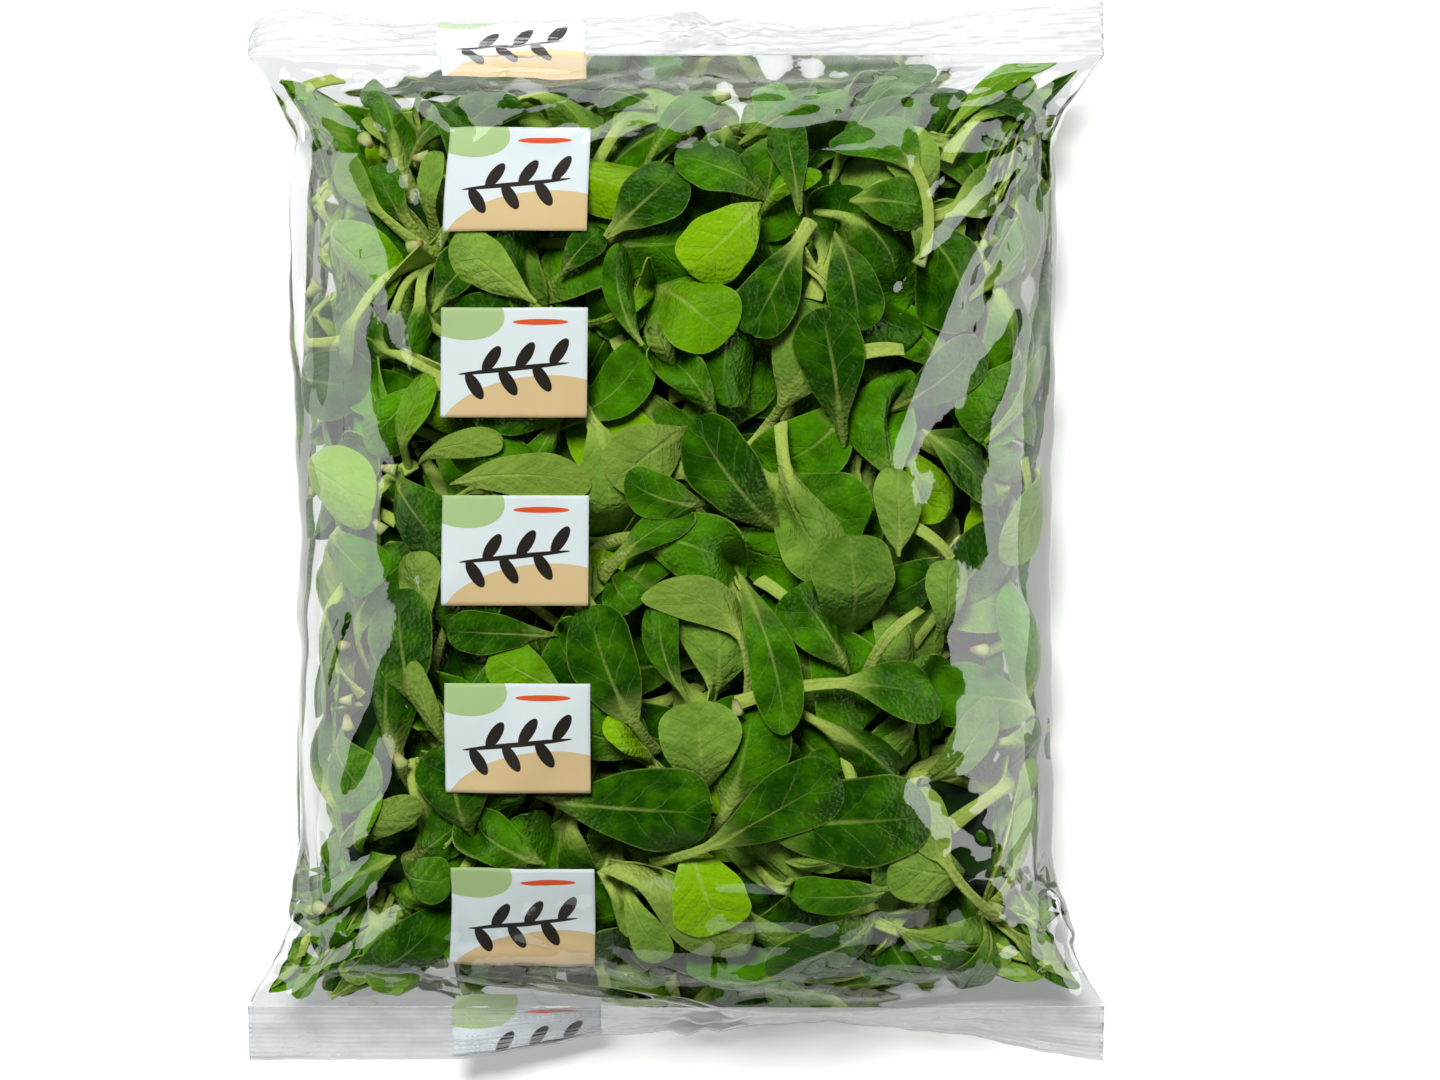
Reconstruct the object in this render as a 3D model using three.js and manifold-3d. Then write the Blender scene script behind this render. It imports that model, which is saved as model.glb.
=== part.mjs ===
// A clear pillow bag of lamb's lettuce, lying on its back. Millimetres, +Z up, +Y towards the top seal.
// The bag is one sealed solid: a full body, a crimped seal strip at each end, the long seal folded flat
// against the back, and the leaves that press outwards under the film on the front.
import * as THREE from "three";
import { mergeVertices } from "three/addons/utils/BufferGeometryUtils.js";
import Module from "manifold-3d";

// Driving dimensions of the bag
const BAG_LENGTH = 276; // over both seal strips, seen from above
const SEAL_WIDTH = 223; // the flat film tube, at its sealed ends
const BODY_WIDTH = 197; // across the filled middle
const BAG_THICKNESS = 57; // from the table to the highest film
const TOP_FLARE = 28; // the length over which the body widens to the top seal's corners
const BOTTOM_FLARE = 46;
const FLARE_CURVE = 1.6;

// End seals: strips crimped with fine ridges. Each droops, least at its corners
const SEAL_DEPTH = 15;
const SEAL_HALF_THICKNESS = 0.7;
const SEAL_RIDGES = 5;
const RIDGE_HEIGHT = 0.35;
const SEAL_LINE_HEIGHT = 20; // where the body closes, above the table
const SEAL_CORNER_DROP = 3;
const TOP_LEFT_CURL = 13.5; // how much of the top left corner is rolled under, along the strip
const CURLED_DEPTH = 0.3; // the share of the strip's depth that is left at that corner

// How steeply each strip droops, in degrees, at shares of its half width from left to right
const TOP_DROOP = [[-1, 20], [-0.65, 52], [-0.2, 46], [0.05, 40], [0.3, 57], [0.55, 50], [1, 16]];
const BOTTOM_DROOP = [[-1, 16], [-0.5, 22], [-0.2, 54], [0.05, 64], [0.36, 70], [0.7, 56], [1, 16]];

// The body's sections
const SIDE_FOLD_HEIGHT = 24; // the widest line of the sides, above the table
const FLAT_BACK_LENGTH = 176; // how much of the back lies on the table
const BODY_SHOULDER = 4.6; // how squarely the body ends towards its seals
const SHOULDER_ROOT = 0.5;
const BACK_RISE = 1.8;
const TOP_SQUARENESS = 2.7;
const BACK_SQUARENESS = 5;
const BACK_FLATTENED = 1; // how far the table presses the rounded back in, which leaves it truly flat
const SIDE_ROUNDNESS = 0.52; // the root that rounds the sides of the middle
const CORNER_ROUNDNESS = 1.25; // over 1, the section runs out thin towards the corners
const EDGE_HALF_THICKNESS = 0.5;

// The mesh: how many steps along and across
const BODY_STEPS = 30;
const ACROSS_STEPS = 24;

// The long seal on the back, folded over to one side and pressed flat
const FIN_ROOT_X = 5;
const FIN_WIDTH = 18;
const FIN_PROUD = 0.4;
const FIN_SUNK = 1.2;

// The leaves that press outwards under the film, with how far they stay from its edges
const LEAF_SPACING = 29;
const LEAF_LENGTH = 40;
const LEAF_WIDTH = 25;
const BLADE_START = 0.3; // where the blade's widest part begins, as a share of the length
const STALK_HALF_WIDTH = 2;
const LEAF_PROUD = 1.5;
const LEAF_RIM_PROUD = 0.6;
const LEAF_SUNK = 3;
const LEAF_EDGE_POINTS = 12;
const LEAF_MARGIN = 6;
const LEAF_JITTER = 9;
const LEAF_SEED = 7;

const wasm = await Module();
wasm.setup();

const halfSeal = SEAL_WIDTH / 2;
const halfBody = BODY_WIDTH / 2;
const cornerDroop = THREE.MathUtils.degToRad(TOP_DROOP.at(-1)[1]);
const sealReach = SEAL_DEPTH * Math.cos(cornerDroop);
const sealLineY = BAG_LENGTH / 2 - sealReach;

const mix = (a, b, share) => a + (b - a) * share;
const clamp01 = (value) => Math.min(1, Math.max(0, value));

// A repeatable draw of numbers from 0 to 1
function seededDraw(seed) {
  let state = seed;
  return () => {
    state = (state * 1664525 + 1013904223) % 4294967296;
    return state / 4294967296;
  };
}

// A smooth value between the stations of a short table of [place, value] pairs
function between(table, place) {
  const next = Math.max(1, table.findIndex(([at]) => at >= place));
  const [from, low] = table[next - 1];
  const [to, high] = table[next];
  return mix(low, high, THREE.MathUtils.smoothstep(place, from, to));
}

// How near a station is to its seal: 0 in the middle of the bag, 1 at the seal line
function nearSeal(y) {
  const flare = y > 0 ? TOP_FLARE : BOTTOM_FLARE;
  return clamp01((Math.abs(y) - (sealLineY - flare)) / flare);
}

function halfWidthAt(y) {
  return mix(halfBody, halfSeal, nearSeal(y) ** FLARE_CURVE);
}

// The height of the line where the film folds round the sides
function edgeHeightAt(y) {
  const corner = SEAL_LINE_HEIGHT - SEAL_CORNER_DROP;
  return mix(SIDE_FOLD_HEIGHT, corner, nearSeal(y));
}

// The height of the seal line, which lies lower at the corners
function sealHeightAt(x) {
  return SEAL_LINE_HEIGHT - SEAL_CORNER_DROP * (x / halfSeal) ** 2;
}

function crownHeightAt(y) {
  const along = clamp01(Math.abs(y) / sealLineY);
  const rise = (1 - along ** BODY_SHOULDER) ** SHOULDER_ROOT;
  return mix(SEAL_LINE_HEIGHT, BAG_THICKNESS - LEAF_PROUD, rise);
}

function backHeightAt(y) {
  const past = Math.abs(y) - FLAT_BACK_LENGTH / 2;
  const span = sealLineY - FLAT_BACK_LENGTH / 2;
  return SEAL_LINE_HEIGHT * clamp01(past / span) ** BACK_RISE;
}

// Share of the full section height that is left at x, from 1 in the middle to 0 at the sides
function sectionShare(x, y, squareness) {
  const across = clamp01(Math.abs(x) / halfWidthAt(y));
  const root = mix(SIDE_ROUNDNESS, CORNER_ROUNDNESS, nearSeal(y));
  return (1 - across ** squareness) ** root;
}

function edgeBlendAt(x, y) {
  return mix(edgeHeightAt(y), sealHeightAt(x), nearSeal(y) ** 3);
}

function topHeight(x, y) {
  const edge = edgeBlendAt(x, y);
  const rise = Math.max(0, crownHeightAt(y) - edge);
  return edge + EDGE_HALF_THICKNESS + rise * sectionShare(x, y, TOP_SQUARENESS);
}

function backHeight(x, y) {
  const edge = edgeBlendAt(x, y);
  const fall = Math.max(0, edge - EDGE_HALF_THICKNESS - backHeightAt(y));
  const pressed = BACK_FLATTENED * (1 - nearSeal(y));
  return Math.max(0, edge - EDGE_HALF_THICKNESS - fall * sectionShare(x, y, BACK_SQUARENESS) - pressed);
}

function droopAt(x, end) {
  const across = THREE.MathUtils.clamp(x / halfSeal, -1, 1);
  return THREE.MathUtils.degToRad(between(end > 0 ? TOP_DROOP : BOTTOM_DROOP, across));
}

// The share of a strip's depth that shows at x: all of it, but for the top left corner, which is rolled
function stripShare(x, end) {
  const past = clamp01((-x - (halfSeal - TOP_LEFT_CURL)) / TOP_LEFT_CURL);
  return end > 0 ? mix(CURLED_DEPTH, 1, Math.sqrt(1 - past ** 2)) : 1;
}

// A point of a seal strip: end is +1 at the top and -1 at the bottom, out is the distance from the seal
// line, and lift is the height over the strip's middle layer
function sealPoint(x, out, end, lift) {
  const droop = droopAt(x, end);
  const reach = out * stripShare(x, end);
  const y = end * (sealLineY + reach * Math.cos(droop) + lift * Math.sin(droop));
  const z = sealHeightAt(x) - reach * Math.sin(droop) + lift * Math.cos(droop);
  return new THREE.Vector3(x, y, z);
}

// Every station of the bag, from the bottom seal's free edge to the top seal's
function stations() {
  const list = [];
  const ridgeSteps = SEAL_RIDGES * 2;
  for (let k = ridgeSteps; k >= 1; k--) {
    list.push({ end: -1, out: (SEAL_DEPTH * k) / ridgeSteps, ridge: k % 2 ? RIDGE_HEIGHT : 0 });
  }
  for (let k = 0; k <= BODY_STEPS; k++) {
    const turn = -Math.PI / 2 + (Math.PI * k) / BODY_STEPS;
    list.push({ end: 0, y: sealLineY * mix(Math.sin(turn), (2 * turn) / Math.PI, 0.35) });
  }
  for (let k = 1; k <= ridgeSteps; k++) {
    list.push({ end: 1, out: (SEAL_DEPTH * k) / ridgeSteps, ridge: k % 2 ? RIDGE_HEIGHT : 0 });
  }
  return list;
}

// The front point (face +1) or back point (face -1) of a station, at a share of its half width
function sheetPoint(station, share, face) {
  if (station.end) {
    const lift = SEAL_HALF_THICKNESS * face + station.ridge;
    return sealPoint(halfSeal * share, station.out, station.end, lift);
  }
  const x = halfWidthAt(station.y) * share;
  const z = face > 0 ? topHeight(x, station.y) : backHeight(x, station.y);
  return new THREE.Vector3(x, station.y, z);
}

function geometryFrom(points, triangles) {
  const geometry = new THREE.BufferGeometry();
  geometry.setAttribute("position", new THREE.Float32BufferAttribute(points.flat(), 3));
  geometry.setIndex(triangles);
  return geometry;
}

// Front and back sheets of the same grid, joined by a wall all round their rim
function closedSheets(front, back) {
  const rows = front.length;
  const columns = front[0].length;
  const points = [...front.flat(), ...back.flat()].map((p) => p.toArray());
  const triangles = [];
  const at = (side, row, column) => (side * rows + row) * columns + column;
  const quad = (a, b, c, d) => triangles.push(a, b, c, a, c, d);
  for (let row = 0; row < rows - 1; row++) {
    for (let column = 0; column < columns - 1; column++) {
      quad(at(0, row, column), at(0, row, column + 1), at(0, row + 1, column + 1), at(0, row + 1, column));
      quad(at(1, row, column), at(1, row + 1, column), at(1, row + 1, column + 1), at(1, row, column + 1));
    }
    quad(at(0, row, 0), at(0, row + 1, 0), at(1, row + 1, 0), at(1, row, 0));
    const last = columns - 1;
    quad(at(0, row, last), at(1, row, last), at(1, row + 1, last), at(0, row + 1, last));
  }
  for (let column = 0; column < columns - 1; column++) {
    quad(at(0, 0, column), at(1, 0, column), at(1, 0, column + 1), at(0, 0, column + 1));
    const last = rows - 1;
    quad(at(0, last, column), at(0, last, column + 1), at(1, last, column + 1), at(1, last, column));
  }
  return geometryFrom(points, triangles);
}

function pillow() {
  const grid = (face) =>
    stations().map((station) =>
      Array.from({ length: ACROSS_STEPS + 1 }, (_, i) => {
        const turn = -Math.PI / 2 + (Math.PI * i) / ACROSS_STEPS;
        return sheetPoint(station, mix(Math.sin(turn), (2 * turn) / Math.PI, 0.25), face);
      }),
    );
  return closedSheets(grid(1), grid(-1));
}

// The long seal: a flat band down the back and over both strips. Where the bag lies on the table it is
// pressed up level with the back
function backFin() {
  const sheet = (offset) =>
    stations().map((station) =>
      [FIN_ROOT_X - FIN_WIDTH, FIN_ROOT_X].map((x) => {
        if (station.end) {
          return sealPoint(x, station.out, station.end, station.ridge - SEAL_HALF_THICKNESS + offset);
        }
        return new THREE.Vector3(x, station.y, Math.max(0, backHeight(x, station.y) + offset));
      }),
    );
  return closedSheets(sheet(FIN_SUNK), sheet(-FIN_PROUD));
}

// Half the width of a spoon-shaped leaf, along its length from its stalk at 0 to its tip at 1
function leafHalfWidth(along) {
  const blade = clamp01((along - BLADE_START) / (1 - BLADE_START));
  const round = 2 * Math.sqrt(Math.max(0, blade * (1 - blade)));
  return Math.max(STALK_HALF_WIDTH * (1 - along), (LEAF_WIDTH / 2) * round);
}

// A leaf laid over the front film, turned by its own angle: a low rim, and a rise to its middle
function leaf(x, y, turn, size) {
  const half = LEAF_EDGE_POINTS / 2;
  const outline = [];
  for (let k = 0; k < half; k++) outline.push([(k + 0.5) / half, 1]);
  for (let k = half - 1; k >= 0; k--) outline.push([(k + 0.5) / half, -1]);
  const place = (u, v, lift) => {
    const px = x + (u * Math.cos(turn) - v * Math.sin(turn)) * size;
    const py = y + (u * Math.sin(turn) + v * Math.cos(turn)) * size;
    const alongLimit = sealLineY - LEAF_MARGIN;
    const cy = THREE.MathUtils.clamp(py, -alongLimit, alongLimit);
    const acrossLimit = halfWidthAt(cy) - LEAF_MARGIN;
    const cx = THREE.MathUtils.clamp(px, -acrossLimit, acrossLimit);
    return [cx, cy, topHeight(cx, cy) + lift];
  };
  const ring = (share, lift) =>
    outline.map(([along, side]) =>
      place(share * LEAF_LENGTH * (along - 0.5), share * side * leafHalfWidth(along), lift),
    );
  const count = outline.length;
  const middleProud = mix(LEAF_RIM_PROUD, LEAF_PROUD, 0.7);
  const points = [
    ...ring(1, -LEAF_SUNK),
    ...ring(1, LEAF_RIM_PROUD),
    ...ring(0.5, middleProud),
    place(0, 0, LEAF_PROUD),
    place(0, 0, -LEAF_SUNK),
  ];
  const triangles = [];
  for (let k = 0; k < count; k++) {
    const next = (k + 1) % count;
    triangles.push(k, next, 3 * count + 1);
    for (const low of [0, count]) {
      triangles.push(low + next, low + k, low + count + k, low + next, low + count + k, low + count + next);
    }
    triangles.push(2 * count + next, 2 * count + k, 3 * count);
  }
  return geometryFrom(points, triangles);
}

// Leaves over the front, one to each place of an uneven grid
function frontLeaves() {
  const draw = seededDraw(LEAF_SEED);
  const jitter = () => (draw() - 0.5) * LEAF_JITTER;
  const list = [];
  const across = Math.round((BODY_WIDTH - 2 * LEAF_MARGIN) / LEAF_SPACING);
  const along = Math.round((2 * (sealLineY - LEAF_MARGIN)) / LEAF_SPACING);
  for (let j = 0; j < along; j++) {
    for (let i = 0; i < across; i++) {
      const x = (i - (across - 1) / 2) * LEAF_SPACING + jitter();
      const y = (j - (along - 1) / 2) * LEAF_SPACING + jitter();
      list.push(leaf(x, y, draw() * 2 * Math.PI, mix(0.75, 1, draw())));
    }
  }
  return list;
}

// manifold-3d solids from three.js geometry, and back again
function solidOf(geometry) {
  const merged = mergeVertices(geometry, 1e-3);
  const made = new wasm.Manifold(
    new wasm.Mesh({
      numProp: 3,
      vertProperties: new Float32Array(merged.attributes.position.array),
      triVerts: new Uint32Array(merged.index.array),
    }),
  );
  return made;
}

function geometryOf(solid) {
  const mesh = solid.getMesh();
  const geometry = new THREE.BufferGeometry();
  const points = new Float32Array(mesh.numVert * 3);
  for (let i = 0; i < mesh.numVert; i++) {
    points.set(mesh.vertProperties.subarray(i * mesh.numProp, i * mesh.numProp + 3), i * 3);
  }
  geometry.setAttribute("position", new THREE.BufferAttribute(points, 3));
  geometry.setIndex(new THREE.BufferAttribute(new Uint32Array(mesh.triVerts), 1));
  return geometry;
}

function bagGeometry() {
  let solid = solidOf(pillow());
  solid = solid.add(solidOf(backFin()));
  for (const piece of frontLeaves()) solid = solid.add(solidOf(piece));
  const geometry = geometryOf(solid);
  geometry.computeBoundingBox();
  const { min, max } = geometry.boundingBox;
  geometry.translate(-(min.x + max.x) / 2, -(min.y + max.y) / 2, -min.z);
  geometry.computeVertexNormals();
  return geometry;
}

const bag = new THREE.Mesh(
  bagGeometry(),
  new THREE.MeshStandardMaterial({ color: "#4f8a2c", roughness: 0.3, metalness: 0 }),
);
bag.name = "salad_bag";

const model = new THREE.Group();
model.add(bag);

export default model;
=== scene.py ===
"""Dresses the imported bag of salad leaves: clear film, seal strips, printed labels, leaves and stage."""

import math
from functools import partial

import bpy
import numpy as np
from bpy.props import FloatProperty, FloatVectorProperty, IntProperty, PointerProperty
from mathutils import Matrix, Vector
from mathutils.bvhtree import BVHTree


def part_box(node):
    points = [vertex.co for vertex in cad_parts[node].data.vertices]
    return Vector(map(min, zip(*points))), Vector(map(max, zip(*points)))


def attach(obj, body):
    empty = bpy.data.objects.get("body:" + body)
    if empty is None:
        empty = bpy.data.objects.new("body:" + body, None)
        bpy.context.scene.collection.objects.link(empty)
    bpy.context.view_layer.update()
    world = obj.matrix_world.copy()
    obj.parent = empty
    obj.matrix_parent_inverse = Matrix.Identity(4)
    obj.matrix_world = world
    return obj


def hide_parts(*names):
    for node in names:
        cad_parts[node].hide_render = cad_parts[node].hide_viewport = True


bl_info = {
    "name": "Bag of Salad Leaves", "version": (1, 0, 0), "blender": (4, 5, 0),
    "location": "3D View > Sidebar > Salad Bag",
    "description": "Makes a clear pillow bag of lamb's lettuce round its packed frame",
    "category": "Object"
}

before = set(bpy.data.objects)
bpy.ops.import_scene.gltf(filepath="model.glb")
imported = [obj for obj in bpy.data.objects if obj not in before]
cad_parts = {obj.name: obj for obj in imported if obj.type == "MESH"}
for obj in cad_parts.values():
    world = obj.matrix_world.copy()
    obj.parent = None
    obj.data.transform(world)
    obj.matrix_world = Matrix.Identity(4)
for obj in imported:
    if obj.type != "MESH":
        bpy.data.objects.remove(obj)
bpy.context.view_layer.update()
BAG_NODE = "salad_bag"
BODY = "root"
MM = 0.001

# The film starts a little over the table, and no point of the finished film is lower than this
TABLE_GAP = 0.001
LOWEST_FILM = 0.0003
# The film is simulated ten times too large, because cloth settles badly at the size of a hand
CLOTH_SCALE = 10.0

# How finely the film is divided: round the tube's front, along it, and for the finished mesh
FRONT_CELLS = 60
LENGTH_CELLS = 76
FINE_AROUND = 300
FINE_ALONG = 190

# What the operators hand on to each other
made = {}


# Colour and node helpers
def linear(hex_colour):
    """An sRGB hex colour as the linear red, green and blue that Blender wants."""
    parts = [int(hex_colour[k : k + 2], 16) / 255 for k in (1, 3, 5)]
    return tuple(c / 12.92 if c <= 0.04045 else ((c + 0.055) / 1.055) ** 2.4 for c in parts)


def add_node(tree, kind, *inputs, named=None, **settings):
    """Adds one node. Inputs fill its sockets in order or by name, each a value, a socket or a node."""
    node = tree.nodes.new(kind)
    for name, value in settings.items():
        setattr(node, name, value)
    pairs = list(zip([socket for socket in node.inputs if socket.enabled], inputs))
    pairs += [(node.inputs[name], value) for name, value in (named or {}).items()]
    for socket, value in pairs:
        if isinstance(value, bpy.types.Node):
            value = next(output for output in value.outputs if output.enabled)
        if isinstance(value, bpy.types.NodeSocket):
            tree.links.new(value, socket)
        elif value is not None:
            socket.default_value = value
    return node


def new_material(name):
    """An empty material, and the function above set to add nodes to it."""
    material = bpy.data.materials.new(name)
    material.use_nodes = True
    material.node_tree.nodes.clear()
    return material, partial(add_node, material.node_tree)


def rgba(hex_colour):
    return (*linear(hex_colour), 1.0)


# Sizes and colours that a user would change
class SaladBagSizes(bpy.types.PropertyGroup):
    film_width: FloatProperty(
        name="Film Width", description="Width of the flat film tube", default=0.228, unit="LENGTH"
    )
    film_length: FloatProperty(
        name="Film Length", description="Length of the film tube between its two seal lines",
        default=0.282, unit="LENGTH"
    )
    body_width: FloatProperty(
        name="Body Width", description="Width of the filled middle", default=0.197, unit="LENGTH"
    )
    seal_depth: FloatProperty(
        name="Seal Depth", description="Depth of the crimped strip at each end", default=0.015,
        unit="LENGTH"
    )
    seal_line_height: FloatProperty(
        name="Seal Line Height", description="Height over the table at which the body closes",
        default=0.020, unit="LENGTH"
    )
    gas_pressure: FloatProperty(
        name="Gas Pressure", description="How hard the gas inside pushes the film out in the simulation",
        default=0.35
    )
    settle_frames: IntProperty(
        name="Settle Frames",
        description="Simulation steps that the film gets to settle round its contents", default=16
    )
    label_width: FloatProperty(
        name="Label Width", description="Width of one printed label", default=0.0388, unit="LENGTH"
    )
    label_height: FloatProperty(
        name="Label Height", description="Height of one printed label", default=0.0293, unit="LENGTH"
    )
    label_pitch: FloatProperty(
        name="Label Pitch", description="Distance along the film from one label to the next",
        default=0.05, unit="LENGTH"
    )


class SaladLeafSizes(bpy.types.PropertyGroup):
    count: IntProperty(
        name="Leaves", description="Leaves laid under the film, all round the bag", default=820
    )
    near_count: IntProperty(
        name="Near Leaves",
        description="How many of the outermost leaves make one piece. The next as many make another",
        default=230
    )
    blade_width: FloatProperty(
        name="Blade Width", description="Width of a full-grown blade", default=0.0235, unit="LENGTH"
    )
    leaf_length: FloatProperty(
        name="Leaf Length", description="Length of a full-grown leaf with its stalk", default=0.047,
        unit="LENGTH"
    )
    thickness: FloatProperty(
        name="Leaf Thickness", description="Thickness of the blade", default=0.0004, unit="LENGTH"
    )
    seed: IntProperty(name="Seed", description="Start of the random draws", default=11)


class SaladBagColours(bpy.types.PropertyGroup):
    upper_dark: FloatVectorProperty(
        name="Upper Side, Dark", description="The darkest green of the leaves' upper side",
        subtype="COLOR", default=linear("#184600")
    )
    upper_light: FloatVectorProperty(
        name="Upper Side, Light", description="The freshest green of the leaves' upper side",
        subtype="COLOR", default=linear("#569a06")
    )
    underside: FloatVectorProperty(
        name="Underside", description="The pale green of the leaves' underside", subtype="COLOR",
        default=linear("#8aae42")
    )
    underside_dark: FloatVectorProperty(
        name="Underside, Dark", description="The greyer green of older leaves' underside",
        subtype="COLOR", default=linear("#527e20")
    )
    yellow_green: FloatVectorProperty(
        name="Yellow Green", description="The bright green of the youngest leaves", subtype="COLOR",
        default=linear("#8ec008")
    )
    stalk: FloatVectorProperty(
        name="Stalk", description="The pale green of stalks and midribs", subtype="COLOR",
        default=linear("#b2c65e")
    )
    label_ground: FloatVectorProperty(
        name="Label Ground", description="The pale blue-white of the labels", subtype="COLOR",
        default=linear("#e4eef2")
    )
    label_tan: FloatVectorProperty(
        name="Label Tan", description="The tan field of the labels", subtype="COLOR",
        default=linear("#e0c492")
    )
    label_green: FloatVectorProperty(
        name="Label Green", description="The pale green field of the labels", subtype="COLOR",
        default=linear("#b0cc8e")
    )


# The bag's form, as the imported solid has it. The relief of its leaves stands this far over the film
LEAF_PROUD = 0.0015
TOP_FLARE = 0.028
BOTTOM_FLARE = 0.046
FLARE_CURVE = 1.6
SEAL_CORNER_DROP = 0.003
SIDE_FOLD_HEIGHT = 0.024
FLAT_BACK_LENGTH = 0.176
TOP_LEFT_CURL = 0.0135
CURLED_DEPTH = 0.3
TOP_DROOP = ((-1, 20), (-0.65, 52), (-0.2, 46), (0.05, 40), (0.3, 57), (0.55, 50), (1, 16))
BOTTOM_DROOP = ((-1, 16), (-0.5, 22), (-0.2, 54), (0.05, 64), (0.36, 70), (0.7, 56), (1, 16))


class BagForm:
    """The filled bag's outline and heights at any place, in metres."""

    def __init__(self, sizes):
        low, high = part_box(BAG_NODE)
        self.sizes = sizes
        self.seal_width = high.x - low.x
        self.thickness = high.z - low.z - LEAF_PROUD
        corner = math.radians(TOP_DROOP[-1][1])
        self.seal_y = (high.y - low.y) / 2 - sizes.seal_depth * math.cos(corner)

    def near_seal(self, y):
        flare = np.where(y > 0, TOP_FLARE, BOTTOM_FLARE)
        return np.clip((np.abs(y) - (self.seal_y - flare)) / flare, 0, 1)

    def half_width(self, y):
        middle = self.sizes.body_width / 2
        return middle + (self.seal_width / 2 - middle) * self.near_seal(y) ** FLARE_CURVE

    def seal_height(self, x):
        drop = SEAL_CORNER_DROP * (x / (self.seal_width / 2)) ** 2
        return self.sizes.seal_line_height - drop

    def edge_height(self, x, y):
        near = self.near_seal(y)
        corner = self.sizes.seal_line_height - SEAL_CORNER_DROP
        fold = SIDE_FOLD_HEIGHT + (corner - SIDE_FOLD_HEIGHT) * near
        return fold + (self.seal_height(x) - fold) * near**3

    def crown_height(self, y):
        along = np.clip(np.abs(y) / self.seal_y, 0, 1)
        line = self.sizes.seal_line_height
        return line + (self.thickness - line) * (1 - along**4.6) ** 0.5

    def back_rise(self, y):
        past = (np.abs(y) - FLAT_BACK_LENGTH / 2) / (self.seal_y - FLAT_BACK_LENGTH / 2)
        return self.sizes.seal_line_height * np.clip(past, 0, 1) ** 1.8

    def section(self, x, y, squareness):
        across = np.clip(np.abs(x) / self.half_width(y), 0, 1)
        return (1 - across**squareness) ** (0.52 + 0.73 * self.near_seal(y))

    def top(self, x, y):
        edge = self.edge_height(x, y)
        return edge + np.maximum(0, self.crown_height(y) - edge) * self.section(x, y, 2.7)

    def bottom(self, x, y):
        edge = self.edge_height(x, y)
        fall = np.maximum(0, edge - self.back_rise(y)) * self.section(x, y, 5.0)
        return np.maximum(0.0004, edge - fall - 0.001 * (1 - self.near_seal(y)))

    def strip_point(self, x, out, end):
        """A place on an end's seal strip, at a distance out from the seal line."""
        table = TOP_DROOP if end > 0 else BOTTOM_DROOP
        places = [place for place, _ in table]
        droop = np.interp(x / (self.seal_width / 2), places, [angle for _, angle in table])
        past = np.clip((-x - (self.seal_width / 2 - TOP_LEFT_CURL)) / TOP_LEFT_CURL, 0, 1)
        curl = CURLED_DEPTH + (1 - CURLED_DEPTH) * np.sqrt(1 - past**2)
        reach = out * np.where(end > 0, curl, 1.0)
        y = end * (self.seal_y + reach * np.cos(np.radians(droop)))
        z = self.seal_height(x) - reach * np.sin(np.radians(droop))
        return np.stack([x, y, z], -1)


def even_places(line, height, count):
    """Places along a line of stations that share its length, with its heights, equally."""
    steps = np.hypot(np.diff(line), np.diff(height))
    travelled = np.concatenate([[0], np.cumsum(steps)])
    return np.interp(np.linspace(0, travelled[-1], count + 1), travelled, line)


def start_ring(form):
    """The film tube before it settles: rows along the bag, each once round from the left fold."""
    turn = np.linspace(0, math.pi, 361)
    line = -form.seal_y * np.cos(turn)
    by_arc = even_places(line, form.top(np.zeros_like(line), line), LENGTH_CELLS)
    by_length = np.linspace(-form.seal_y, form.seal_y, LENGTH_CELLS + 1)
    rows = []
    for y in 0.6 * by_arc + 0.4 * by_length:
        across = -form.half_width(y) * np.cos(turn)
        here = np.full_like(across, y)
        front_x = even_places(across, form.top(across, here), FRONT_CELLS)
        back_x = even_places(across, form.bottom(across, here), FRONT_CELLS)[::-1][1:-1]
        x = np.concatenate([front_x, back_x])
        y_here = np.full_like(x, y)
        front = np.arange(len(x)) <= FRONT_CELLS
        z = np.where(front, form.top(x, y_here), form.bottom(x, y_here))
        rows.append(np.stack([x, y_here, z], -1))
    ring = np.array(rows)
    ring[:, :, 2] += TABLE_GAP
    for end in (0, -1):
        for column in range(1, FRONT_CELLS):
            ring[end, -column] = ring[end, column]
    return ring


# Meshes from arrays
def mesh_from(name, points, corners, uv=None, values=(), sharp=None):
    """A smooth mesh of triangles or quads, with a UV map, values on its points and sharp rims."""
    points = np.asarray(points, np.float32)
    corners = np.asarray(corners, np.int32)
    mesh = bpy.data.meshes.new(name)
    mesh.vertices.add(len(points))
    mesh.vertices.foreach_set("co", points.ravel())
    sides = corners.shape[1]
    mesh.loops.add(corners.size)
    mesh.loops.foreach_set("vertex_index", corners.ravel())
    mesh.polygons.add(len(corners))
    mesh.polygons.foreach_set("loop_start", np.arange(0, corners.size, sides, dtype=np.int32))
    mesh.update(calc_edges=True)
    mesh.polygons.foreach_set("use_smooth", np.ones(len(corners), bool))
    if uv is not None:
        layer = mesh.uv_layers.new(name="surface")
        layer.data.foreach_set("uv", np.asarray(uv, np.float32)[corners.ravel()].ravel())
    for key, column in values:
        mesh.attributes.new(key, "FLOAT", "POINT").data.foreach_set("value", np.float32(column))
    if sharp is not None:
        pairs = np.empty(len(mesh.edges) * 2, np.int32)
        mesh.edges.foreach_get("vertices", pairs)
        both = sharp[pairs.reshape(-1, 2)].all(1)
        mesh.attributes.new("sharp_edge", "BOOLEAN", "EDGE").data.foreach_set("value", both)
    mesh.validate()
    mesh.update()
    return mesh


def show(mesh, material):
    """Puts a finished mesh in the scene. Film and contents together stand for the bag's one solid."""
    piece = bpy.data.objects.new(mesh.name, mesh)
    bpy.context.scene.collection.objects.link(piece)
    mesh.materials.append(material)
    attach(piece, BODY)
    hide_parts(BAG_NODE)
    return piece


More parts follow.
